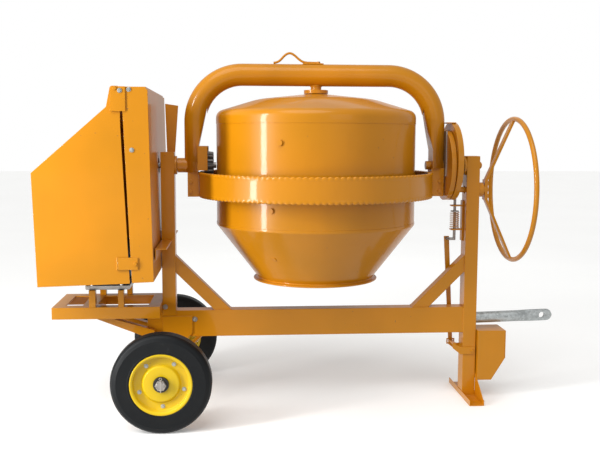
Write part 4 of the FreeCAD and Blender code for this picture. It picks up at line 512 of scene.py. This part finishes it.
def carved(bm, tool, name):
    """The first mesh with the second cut out of it."""
    blocks = []
    for label, mesh_source in ((name, bm), (name + "_tool", tool)):
        mesh = bpy.data.meshes.new(label)
        mesh_source.to_mesh(mesh)
        mesh_source.free()
        block = bpy.data.objects.new(label, mesh)
        bpy.context.scene.collection.objects.link(block)
        blocks.append(block)
    cutter = blocks[0].modifiers.new("Hole", "BOOLEAN")
    cutter.operation, cutter.object, cutter.solver = "DIFFERENCE", blocks[1], "EXACT"
    made = bpy.data.meshes.new_from_object(blocks[0].evaluated_get(bpy.context.evaluated_depsgraph_get()))
    result = bmesh.new()
    result.from_mesh(made)
    for block in blocks:
        bpy.data.meshes.remove(block.data)
    bpy.data.meshes.remove(made)
    return result


def mm(*values):
    """A vector given in millimetres."""
    return Vector(values) * MM


# ---- the pieces ----

class PieceMaker:
    """What every operator here shares."""
    bl_options = {"REGISTER", "UNDO"}

    def execute(self, context):
        self.make(context.scene.mixer_sizes)
        return {"FINISHED"}


class MakeFrame(PieceMaker, bpy.types.Operator):
    """Round off the beam, posts, braces and foot"""
    bl_idname = "mixer.frame"
    bl_label = "Frame"

    def make(self, sizes):
        for node in ("main_beam", "left_post", "right_post", "left_brace", "right_brace"):
            softened(node, 2.2 * MM, 3)
        softened("foot_plate", sizes.edge)
        softened("lock_bracket", sizes.edge)
        softened("left_bearing", 1.5 * MM)
        softened("right_bearing", 1.5 * MM)


class MakeWelds(PieceMaker, bpy.types.Operator):
    """Lay the weld beads along the frame's joints"""
    bl_idname = "mixer.welds"
    bl_label = "Weld beads"

    def make(self, sizes):
        bm = bmesh.new()
        radius = sizes.weld
        beam_low, beam_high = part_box("main_beam")
        left_low, left_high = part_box("left_post")
        right_low, right_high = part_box("right_post")
        top = beam_high[2]
        half_post, inset = 36 * MM, 4 * MM
        brace_foot = 64 * MM * math.sqrt(2)
        # Left post on the beam.
        add_bead(bm, (left_low[0], beam_low[1], top), (left_high[0], beam_low[1], top), radius, 1)
        add_bead(bm, (left_low[0], beam_high[1], top), (left_high[0], beam_high[1], top), radius, 2)
        add_bead(bm, (left_high[0], -half_post, top), (left_high[0], half_post, top), radius, 3)
        # Beam against the right post.
        face = right_low[0]
        for y in (beam_low[1], beam_high[1]):
            add_bead(bm, (face, y, beam_low[2] + inset), (face, y, top - inset), radius, 5)
        add_bead(bm, (face, -half_post, beam_low[2]), (face, half_post, beam_low[2]), radius, 7)
        # Foot round the leg.
        foot_top = 4 * MM
        add_bead_loop(bm, [(right_low[0], right_low[1], foot_top), (right_high[0], right_low[1], foot_top),
                           (right_high[0], right_high[1], foot_top), (right_low[0], right_high[1], foot_top)],
                      radius * 0.8, 11)
        # Brace ends.
        for node, post_face, out in (("left_brace", left_high[0], 1), ("right_brace", right_low[0], -1)):
            low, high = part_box(node)
            for y in (low[1], high[1]):
                add_bead(bm, (post_face, y, high[2] - brace_foot), (post_face, y, high[2]), radius * 0.8, 21)
                foot = low[0] if out < 0 else high[0]
                add_bead(bm, (foot, y, top), (foot - out * brace_foot, y, top), radius * 0.8, 23)
        piece("frame_welds", bm, "root", "orange_paint", sharp=60)


class MakeRunningGear(PieceMaker, bpy.types.Operator):
    """Round off the crossbar, brackets and axle, and add the nuts with their pins"""
    bl_idname = "mixer.running_gear"
    bl_label = "Running gear"

    def make(self, sizes):
        softened("axle_crossbar", 2.2 * MM, 3)
        softened("axle_brackets", sizes.edge)
        softened("axle_shaft", 1.2 * MM)
        nut_face, pin_reach = 542 * MM, 544 * MM
        bm = bmesh.new()
        for side in (-1, 1):
            stand = facing(Y * side, AXLE + Y * side * nut_face)
            for k in range(6):
                turn = Matrix.Rotation(FULL_TURN * (k + 0.5) / 6, 4, "Z")
                bmesh.ops.create_cube(bm, size=1.0, matrix=stand @ turn @ Matrix.Translation(
                    (19.5 * MM, 0, 3.0 * MM)) @ Matrix.Diagonal((4 * MM, 11 * MM, 7 * MM, 1)))
            pin = AXLE + Y * side * pin_reach
            bmesh.ops.create_cone(bm, cap_ends=True, segments=12, radius1=2 * MM, radius2=2 * MM,
                                  depth=62 * MM, matrix=Matrix.Translation(pin))
            spun(bm, ring_outline(6 * MM, 2 * MM, sides=8), pin + Z * 34 * MM, Y, 20)
        round_edges(bm, 0.5 * MM, 50, 1, lambda e: e.calc_length() > 3.5 * MM)
        piece("axle_pins", bm, "root", "bare_steel", sharp=40)


class MakeWheels(PieceMaker, bpy.types.Operator):
    """Make the solid tyres, pressed rims with their bolts, and the hubs"""
    bl_idname = "mixer.wheels"
    bl_label = "Wheels"

    def make(self, sizes):
        track, bolt_circle, bolts = 480 * MM, 111 * MM, 5
        first_bolt = math.radians(57)
        for name, side in (("near", -1), ("far", 1)):
            body = name + "_wheel"
            centre = AXLE + Y * side * track
            half = [(137, -46), (148, -46, 1.5), (151, -51, 3), (157, -52.5, 3), (160, -51.2, 2),
                    (206, -53.6, 4), (208.5, -54, 1), (211, -54, 1), (214, -52.6, 2), (228, -47, 10),
                    (236, -38, 8), (240, -30, 6), (240, -16), (237, -15), (237, -12), (240, -11)]
            tread = half + [(r, -h, *corner) for r, h, *corner in reversed(half)]
            bm = bmesh.new()
            spun(bm, in_metres(tread, 4), centre, Y, 112)
            piece(name + "_tyre_moulded", bm, body, "solid_rubber", (name + "_tyre",), sharp=48)
            sheet = [(137, -46), (147, -46, 2), (149, -49, 2), (143, -50, 3), (133, -48, 4), (133, 14, 4),
                     (92, 14, 5), (84, 30, 6), (37, 30), (37, 34, 1.5), (85, 34, 8), (94, 18, 8),
                     (131, 18, 5), (133, 46, 3), (142, 50, 4), (149, 49.5, 2), (148.5, 46, 1), (137, 46)]
            bm = bmesh.new()
            spun(bm, in_metres([(r, h * side, *corner) for r, h, *corner in sheet], 4), centre, Y, 96)
            piece(name + "_rim_pressed", bm, body, "yellow_paint", (name + "_rim",), sharp=50)
            bm = bmesh.new()
            for turn in range(bolts):
                angle = first_bolt + FULL_TURN * turn / bolts
                spot = centre + (X * math.cos(angle) + Z * math.sin(angle)) * bolt_circle + Y * side * 18 * MM
                add_bolt(bm, spot, Y * side, 6 * MM, 5 * MM, turn=0.4 * turn)
            piece(name + "_wheel_bolts", bm, body, "galvanised_steel", sharp=30)
            softened(name + "_hub", 1.5 * MM)
            bm = bmesh.new()
            washer = [(20, 45), (36.5, 45), (36.5, 46.5), (30, 47), (20, 47)]
            spun(bm, in_metres([(r, h * side) for r, h in washer], 1), centre, Y, 48)
            piece(name + "_axle_washer", bm, body, "black_iron", sharp=30)


class MakeEngineEnd(PieceMaker, bpy.types.Operator):
    """Round off the table, hood, belt guard and motor"""
    bl_idname = "mixer.engine_end"
    bl_label = "Engine end"

    def make(self, sizes):
        for node in ("engine_table", "guard_supports", "cover_fittings", "cover_latch"):
            softened(node, sizes.edge)
        low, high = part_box("engine_base")
        plate_bottom = high[2] - 20 * MM
        for name, slot, above in (("engine_plate", "bare_steel", True),
                                  ("engine_mounts", "orange_paint", False)):
            bm = copied("engine_base")
            apart = bmesh.ops.bisect_plane(bm, geom=bm.verts[:] + bm.edges[:] + bm.faces[:], dist=0.01 * MM,
                                           plane_co=(0, 0, plate_bottom), plane_no=(0, 0, 1),
                                           clear_inner=above, clear_outer=not above)
            rims = [e for e in apart["geom_cut"] if isinstance(e, bmesh.types.BMEdge)]
            bmesh.ops.holes_fill(bm, edges=rims)
            round_edges(bm, sizes.edge)
            piece(name, bm, "root", slot, ("engine_base",), sharp=50, even=True)
        softened("engine_cover", 1.3 * MM, 2)
        softened("belt_guard", 1.3 * MM, 2)
        softened("motor", 1.0 * MM)
        for node in ("drive_belts", "large_pulley", "motor_pulley", "drive_shaft", "bevel_pinion"):
            smoothed(node)
        # The bolts of the hinge caps and of the belt guard's rail.
        bm = bmesh.new()
        for x, z, out in ((-1790, 1616, 456), (-1749, 1621, 450), (-1740, 1342, 450)):
            for side in (-1, 1):
                add_bolt(bm, mm(x, side * out, z), Y * side, 6.5 * MM, 5 * MM, turn=0.3)
        piece("guard_bolts", bm, "root", "galvanised_steel", sharp=30)
        # The bolts of the engine plate, and one each on the post and the beam.
        bm = bmesh.new()
        for x in (low[0] + 34 * MM, high[0] - 40 * MM):
            for y in (low[1] + 22 * MM, high[1] - 22 * MM):
                add_bolt(bm, (x, y, high[2]), Z, 7 * MM, 7 * MM, turn=0.2)
        post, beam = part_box("left_post")[0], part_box("main_beam")[0]
        for spot in ((post[0] + 14 * MM, post[1], 516 * MM), (-1477 * MM, beam[1], 447 * MM)):
            add_bolt(bm, spot, -Y, 8 * MM, 8 * MM, turn=0.5)
        piece("frame_bolts", bm, "root", "bare_steel", sharp=30)


class MakeDrum(PieceMaker, bpy.types.Operator):
    """Spin the drum's shell with its lapped seams and rolled mouth"""
    bl_idname = "mixer.drum"
    bl_label = "Drum"

    def make(self, sizes):
        centre = Vector((DRUM_AXIS.x, 0, 0))
        radius, seam, bend, sheet = 521.5, 965, 952, 4
        outer = radius - sizes.lap / MM
        inner = outer - sheet
        shell = [(63, 1626), (310, 1598, 380), (radius, 1533, 42), (radius, 1471, 0.8), (outer, 1470),
                 (outer, seam + 1), (inner, seam + 1), (inner, 1528, 38), (309, 1594, 380), (63, 1622)]
        cone = [(outer, seam + 1), (radius, seam, 0.8), (radius, bend, 14), (305, 671, 4), (321, 665, 3),
                (322, 660), (300, 663, 4), (301, 673, 5), (517, bend + 2, 14), (inner, seam + 1)]
        for name, outline, node in (("drum_shell_spun", shell, "drum_shell"),
                                    ("drum_cone_spun", cone, "drum_cone")):
            bm = bmesh.new()
            spun(bm, in_metres(outline, 7), centre, Z, 144)
            if node == "drum_cone":
                bead = sizes.mouth_bead
                spun(bm, ring_outline(328 * MM - bead, bead, 658 * MM + bead, 14), centre, Z, 144)
            piece(name, bm, "drum", "orange_paint", (node,), sharp=55)
        softened("blade_bolts", 0.8 * MM)
        smoothed("drum_hub")
        softened("mixing_blades", sizes.edge)
        smoothed("ring_gear")
        smoothed("gear_carrier")


class MakeYoke(PieceMaker, bpy.types.Operator):
    """Smooth the yoke's pipe and round off what is fixed to it"""
    bl_idname = "mixer.yoke"
    bl_label = "Yoke"

    def make(self, sizes):
        smoothed("yoke_pipe", 40)
        for node in ("left_trunnion", "right_trunnion", "drum_spindle", "guard_brackets", "pinion_hood"):
            softened(node, sizes.edge)
        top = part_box("yoke_pipe")[1][2]
        axis = DRUM_AXIS.x
        bent("lifting_loop_bent", "yoke", "orange_paint", ("lifting_loop",), sizes.loop_rod,
             [(axis + dx * MM, 0, top + dz * MM) for dx, dz in
              ((-222, 6), (-196, 6), (-172, 38), (-148, 56), (-128, 56), (-104, 38), (-72, 7), (-40, 7),
               (14, 7))])
        bm = bmesh.new()
        bmesh.ops.create_cube(bm, size=1.0, matrix=Matrix.Translation((axis - 16 * MM, 0, top + 1.5 * MM))
                              @ Matrix.Diagonal((108 * MM, 36 * MM, 5 * MM, 1)))
        round_edges(bm, 1.2 * MM)
        add_bolt(bm, (axis + 12 * MM, 0, top + 4 * MM), Z, 9 * MM, 8 * MM)
        piece("lifting_plate", bm, "yoke", "orange_paint", sharp=40)
        smoothed("tilt_gear")
        for node, side in (("near_ring_guard", -1), ("far_ring_guard", 1)):
            self.ring_guard(node, side, sizes)
        # The bead round the spindle, under the pipe.
        bm = bmesh.new()
        spun(bm, ring_outline(28 * MM, sizes.weld, 0, 8), Vector((axis, 0, top - 114.15 * MM)), Z, 48)
        piece("yoke_welds", bm, "yoke", "orange_paint", sharp=60)
        # The plate between the right leg and its disc.
        bm = bmesh.new()
        bmesh.ops.create_cube(bm, size=1.0, matrix=Matrix.Translation(mm(-155, 0, 1320))
                              @ Matrix.Diagonal((7 * MM, 148 * MM, 236 * MM, 1)))
        round_edges(bm, 1.2 * MM)
        piece("flange_plate", bm, "yoke", "bare_steel", sharp=40)

    def ring_guard(self, node, side, sizes):
        """A half band with lips folded in over closely crimped edges."""
        low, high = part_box(node)
        centre = Vector((DRUM_AXIS.x, 0, 0))
        bottom, top = low[2] / MM, high[2] / MM
        outline = [(592, top - 3), (606, top - 1, 2), (613, top - 1.5, 5), (613, top - 14),
                   (611.5, top - 22, 6), (611.5, bottom + 22, 6), (613, bottom + 14),
                   (613, bottom + 1.5, 5), (606, bottom + 1, 2), (592, bottom + 3), (592, bottom + 6),
                   (605, bottom + 5, 4), (608.5, bottom + 14), (608.5, top - 14), (605, top - 5, 4),
                   (592, top - 6)]
        crimps, finer = sizes.crimps, 8
        gap = 0.5 * MM / 0.6
        bm = bmesh.new()
        verts = [bm.verts.new(centre - X * r * side + Z * h) for r, h in in_metres(outline, 3)]
        edges = [bm.edges.new(pair) for pair in zip(verts, verts[1:] + verts[:1])]
        face = bm.faces.new(verts)
        bmesh.ops.rotate(bm, verts=verts, cent=centre, matrix=Matrix.Rotation(gap, 3, "Z"))
        bmesh.ops.spin(bm, geom=verts + edges + [face], cent=centre, axis=Z, dvec=(0, 0, 0),
                       angle=math.pi - 2 * gap, steps=crimps * finer // 2, use_merge=False, use_duplicate=False)
        waist = (bottom + top) / 2 * MM
        half = (top - bottom) / 2 * MM
        lip = 0.24
        for v in bm.verts:
            out = Vector((v.co.x - centre.x, v.co.y - centre.y, 0))
            fold = max(0.0, (abs(v.co.z - waist) / half - (1 - lip)) / lip)
            dip = 1 - abs(math.sin(math.atan2(out.y, out.x) * crimps / 2))
            sink = sizes.crimp_depth * dip * fold
            v.co -= out.normalized() * sink * 0.9
            v.co.z -= math.copysign(sink * 0.8, v.co.z - waist)
        bmesh.ops.recalc_face_normals(bm, faces=bm.faces)
        piece(node + "_crimped", bm, "yoke", "orange_paint", (node,), sharp=60)


class MakeTiltingSide(PieceMaker, bpy.types.Operator):
    """Round off the gear cover and make the handwheel"""
    bl_idname = "mixer.tilting_side"
    bl_label = "Tilting side"

    def make(self, sizes):
        softened("gear_cover", 1.5 * MM)
        smoothed("tilt_pinion")
        softened("handwheel_shaft", sizes.edge)
        bm = copied("handwheel_spokes")
        for v in bm.verts:
            v.co += Vector((v.normal.x, 0, v.normal.z)) * sizes.spoke_swell
        round_edges(bm, sizes.edge)
        piece("handwheel_spokes_round", bm, "handwheel", "orange_paint", ("handwheel_spokes",),
              sharp=50, even=True)
        low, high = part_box("handwheel_rim")
        major = (high[2] - low[2]) / 2 - sizes.rim_tube
        bm = bmesh.new()
        spun(bm, ring_outline(major, sizes.rim_tube, 0, 20), middle("handwheel_rim"), X, 160)
        piece("handwheel_rim_bent", bm, "handwheel", "orange_paint", ("handwheel_rim",))


class MakeLock(PieceMaker, bpy.types.Operator):
    """Wind the lock's spring and round off its pin, link and pedal"""
    bl_idname = "mixer.lock"
    bl_label = "Lock"

    def make(self, sizes):
        low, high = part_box("lock_spring")
        centre = middle("lock_spring")
        wire = sizes.spring_wire
        turns, steps = 8, 24
        height = (high[2] - low[2]) - 2 * wire
        start = Vector((centre.x, centre.y, low[2] + wire))
        radius = (high[0] - low[0]) / 2 + 1.5 * MM
        bm = bmesh.new()
        ring = bmesh.ops.create_circle(bm, cap_ends=True, segments=10, radius=wire,
                                       matrix=facing(Y, start + X * radius))
        edges = list({e for v in ring["verts"] for e in v.link_edges})
        faces = list({f for v in ring["verts"] for f in v.link_faces})
        bmesh.ops.spin(bm, geom=ring["verts"] + edges + faces, cent=start, axis=Z, angle=FULL_TURN * turns,
                       dvec=Z * height / (turns * steps), steps=turns * steps, use_merge=False,
                       use_duplicate=False)
        bmesh.ops.recalc_face_normals(bm, faces=bm.faces)
        piece("lock_spring_wound", bm, "root", "orange_paint", ("lock_spring",), sharp=60)
        softened("lock_pin", 0.8 * MM)
        softened("pull_link", sizes.edge)
        softened("foot_pedal", sizes.edge)


class MakeTowing(PieceMaker, bpy.types.Operator):
    """Round off the towbar, the tool box and its door"""
    bl_idname = "mixer.towing"
    bl_label = "Towbar and tool box"

    def make(self, sizes):
        low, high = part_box("towbar")
        radius, inset, tip_length = 30 * MM, 1 * MM, 30 * MM
        start, reach = low[0] + inset, high[0] - inset
        base, slope = 427 * MM, math.tan(math.radians(1.6))
        flat_from, flat_over, half_sheet, swell = 265 * MM, 95 * MM, 11.5 * MM, 0.06
        eye, eye_radius = 411 * MM, 17 * MM
        steps = 90
        bm = bmesh.new()
        ring = bmesh.ops.create_circle(bm, cap_ends=True, segments=40, radius=radius,
                                       matrix=facing(X, (start, 0, base + low[0] * slope)))
        geom = ring["verts"] + list({e for v in ring["verts"] for e in v.link_edges})
        geom += list({f for v in ring["verts"] for f in v.link_faces})
        stride = (reach - start) / steps
        bmesh.ops.spin(bm, geom=geom, cent=(0, 0, 0), axis=X, angle=0, dvec=(stride, 0, stride * slope),
                       steps=steps, use_merge=False, use_duplicate=False)
        for v in bm.verts:
            core = base + v.co.x * slope
            flat = max(0.0, min(1.0, (v.co.x - flat_from) / flat_over))
            flat = flat * flat * (3 - 2 * flat)
            up, across = v.co.z - core, v.co.y
            sheet = math.copysign(min(abs(across), half_sheet), across)
            v.co.y = across * (1 - flat) + sheet * flat
            tip = max(0.0, (v.co.x - (reach - tip_length)) / tip_length)
            v.co.z = core + up * (1 + swell * flat) * math.sqrt(max(0.02, 1 - min(1.0, tip) ** 2))
        bmesh.ops.recalc_face_normals(bm, faces=bm.faces)
        tool = bmesh.new()
        bmesh.ops.create_cone(tool, cap_ends=True, segments=40, radius1=eye_radius, radius2=eye_radius,
                              depth=90 * MM, matrix=facing(Y, (eye, 0, base + eye * slope)))
        piece("towbar_pressed", carved(bm, tool, "towbar_blank"), "root", "galvanised_steel", ("towbar",),
              sharp=50)
        softened("toolbox", 1.3 * MM)
        softened("toolbox_door", 0.8 * MM)


class MakeStage(PieceMaker, bpy.types.Operator):
    """Set the floor, the soft lights and the camera"""
    bl_idname = "mixer.stage"
    bl_label = "Studio"

    def execute(self, context):
        scene = context.scene
        studio = scene.mixer_studio
        bm = bmesh.new()
        bmesh.ops.create_grid(bm, x_segments=8, y_segments=8, size=30)
        mesh = bpy.data.meshes.new("studio_floor")
        bm.to_mesh(mesh)
        bm.free()
        floor = bpy.data.objects.new("studio_floor", mesh)
        mesh.materials.append(finish("floor"))
        scene.collection.objects.link(floor)
        # Its brightness isn't meant to light the machine from below.
        floor.visible_diffuse = False

        # The room is white behind the machine, and dimmer as a light.
        world = bpy.data.worlds.new("studio_room")
        world.use_nodes = True
        tree = world.node_tree
        room = tree.nodes["Background"]
        room.inputs["Color"].default_value = (1, 1, 1, 1)
        seen = tree.nodes.new("ShaderNodeLightPath")
        bright = tree.nodes.new("ShaderNodeMapRange")
        bright.inputs["To Min"].default_value = studio.sky
        bright.inputs["To Max"].default_value = 1.0
        tree.links.new(seen.outputs["Is Camera Ray"], bright.inputs["Value"])
        tree.links.new(bright.outputs["Result"], room.inputs["Strength"])
        scene.world = world
        scene.view_settings.view_transform = "Standard"

        aim = mm(-900, 0, 900)
        lights = (("key_light", "SUN", (-2.2, -3.0, 6.5), (0, 0), studio.key),
                  ("strip_light", "AREA", (-4.0, -1.75, 1.6), (0.42, 2.8), studio.strip),
                  ("fill_light", "AREA", (1.2, -5.2, 2.6), (2.4, 2.0), studio.fill),
                  ("back_light", "AREA", (0.5, 5.0, 3.5), (3.0, 3.0), studio.fill))
        for name, kind, place, (width, height), power in lights:
            lamp = bpy.data.lights.new(name, kind)
            lamp.energy = power
            if kind == "SUN":
                lamp.angle = math.radians(45)
            else:
                lamp.shape, lamp.size, lamp.size_y = "RECTANGLE", width, height
            light = bpy.data.objects.new(name, lamp)
            light.location = place
            light.rotation_mode = "QUATERNION"
            light.rotation_quaternion = (aim - Vector(place)).to_track_quat("-Z", "Y")
            light.visible_camera = False
            scene.collection.objects.link(light)

        lens = bpy.data.cameras.new("camera")
        lens.lens, lens.sensor_width = studio.lens, 36
        camera = bpy.data.objects.new("camera", lens)
        yaw, pitch = studio.yaw, studio.pitch
        ahead = Vector((math.sin(yaw) * math.cos(pitch), math.cos(yaw) * math.cos(pitch), -math.sin(pitch)))
        right = Vector((math.cos(yaw), -math.sin(yaw), 0))
        down = ahead.cross(right)
        cos, sin = math.cos(studio.roll), math.sin(studio.roll)
        right, down = right * cos + down * sin, down * cos - right * sin
        turned = Matrix((right, -down, -ahead)).transposed().to_4x4()
        camera.matrix_world = Matrix.Translation(studio.place) @ turned
        scene.collection.objects.link(camera)
        scene.camera = camera
        return {"FINISHED"}


OPERATORS = (MakeFrame, MakeWelds, MakeRunningGear, MakeWheels, MakeEngineEnd, MakeDrum, MakeYoke,
             MakeTiltingSide, MakeLock, MakeTowing, MakeStage)


class MixerPanel(bpy.types.Panel):
    """The mixer's pieces, sizes and colours"""
    bl_idname = "VIEW3D_PT_mixer"
    bl_label = "Concrete mixer"
    bl_space_type = "VIEW_3D"
    bl_region_type = "UI"
    bl_category = "Mixer"

    def draw(self, context):
        for group in (context.scene.mixer_sizes, context.scene.mixer_colours, context.scene.mixer_studio):
            box = self.layout.box()
            for name in group.__annotations__:
                box.prop(group, name)
        for operator in OPERATORS:
            self.layout.operator(operator.bl_idname)


GROUPS = {"mixer_sizes": MixerSizes, "mixer_colours": MixerColours, "mixer_studio": MixerStudio}


def register():
    for kind in (*GROUPS.values(), *OPERATORS, MixerPanel):
        bpy.utils.register_class(kind)
    for name, kind in GROUPS.items():
        setattr(bpy.types.Scene, name, bpy.props.PointerProperty(type=kind))


def unregister():
    for name in GROUPS:
        delattr(bpy.types.Scene, name)
    for kind in (MixerPanel, *reversed(OPERATORS), *reversed(GROUPS.values())):
        bpy.utils.unregister_class(kind)


def main():
    register()
    for operator in OPERATORS:
        family, name = operator.bl_idname.split(".")
        getattr(getattr(bpy.ops, family), name)()


if __name__ == "__main__":
    main()
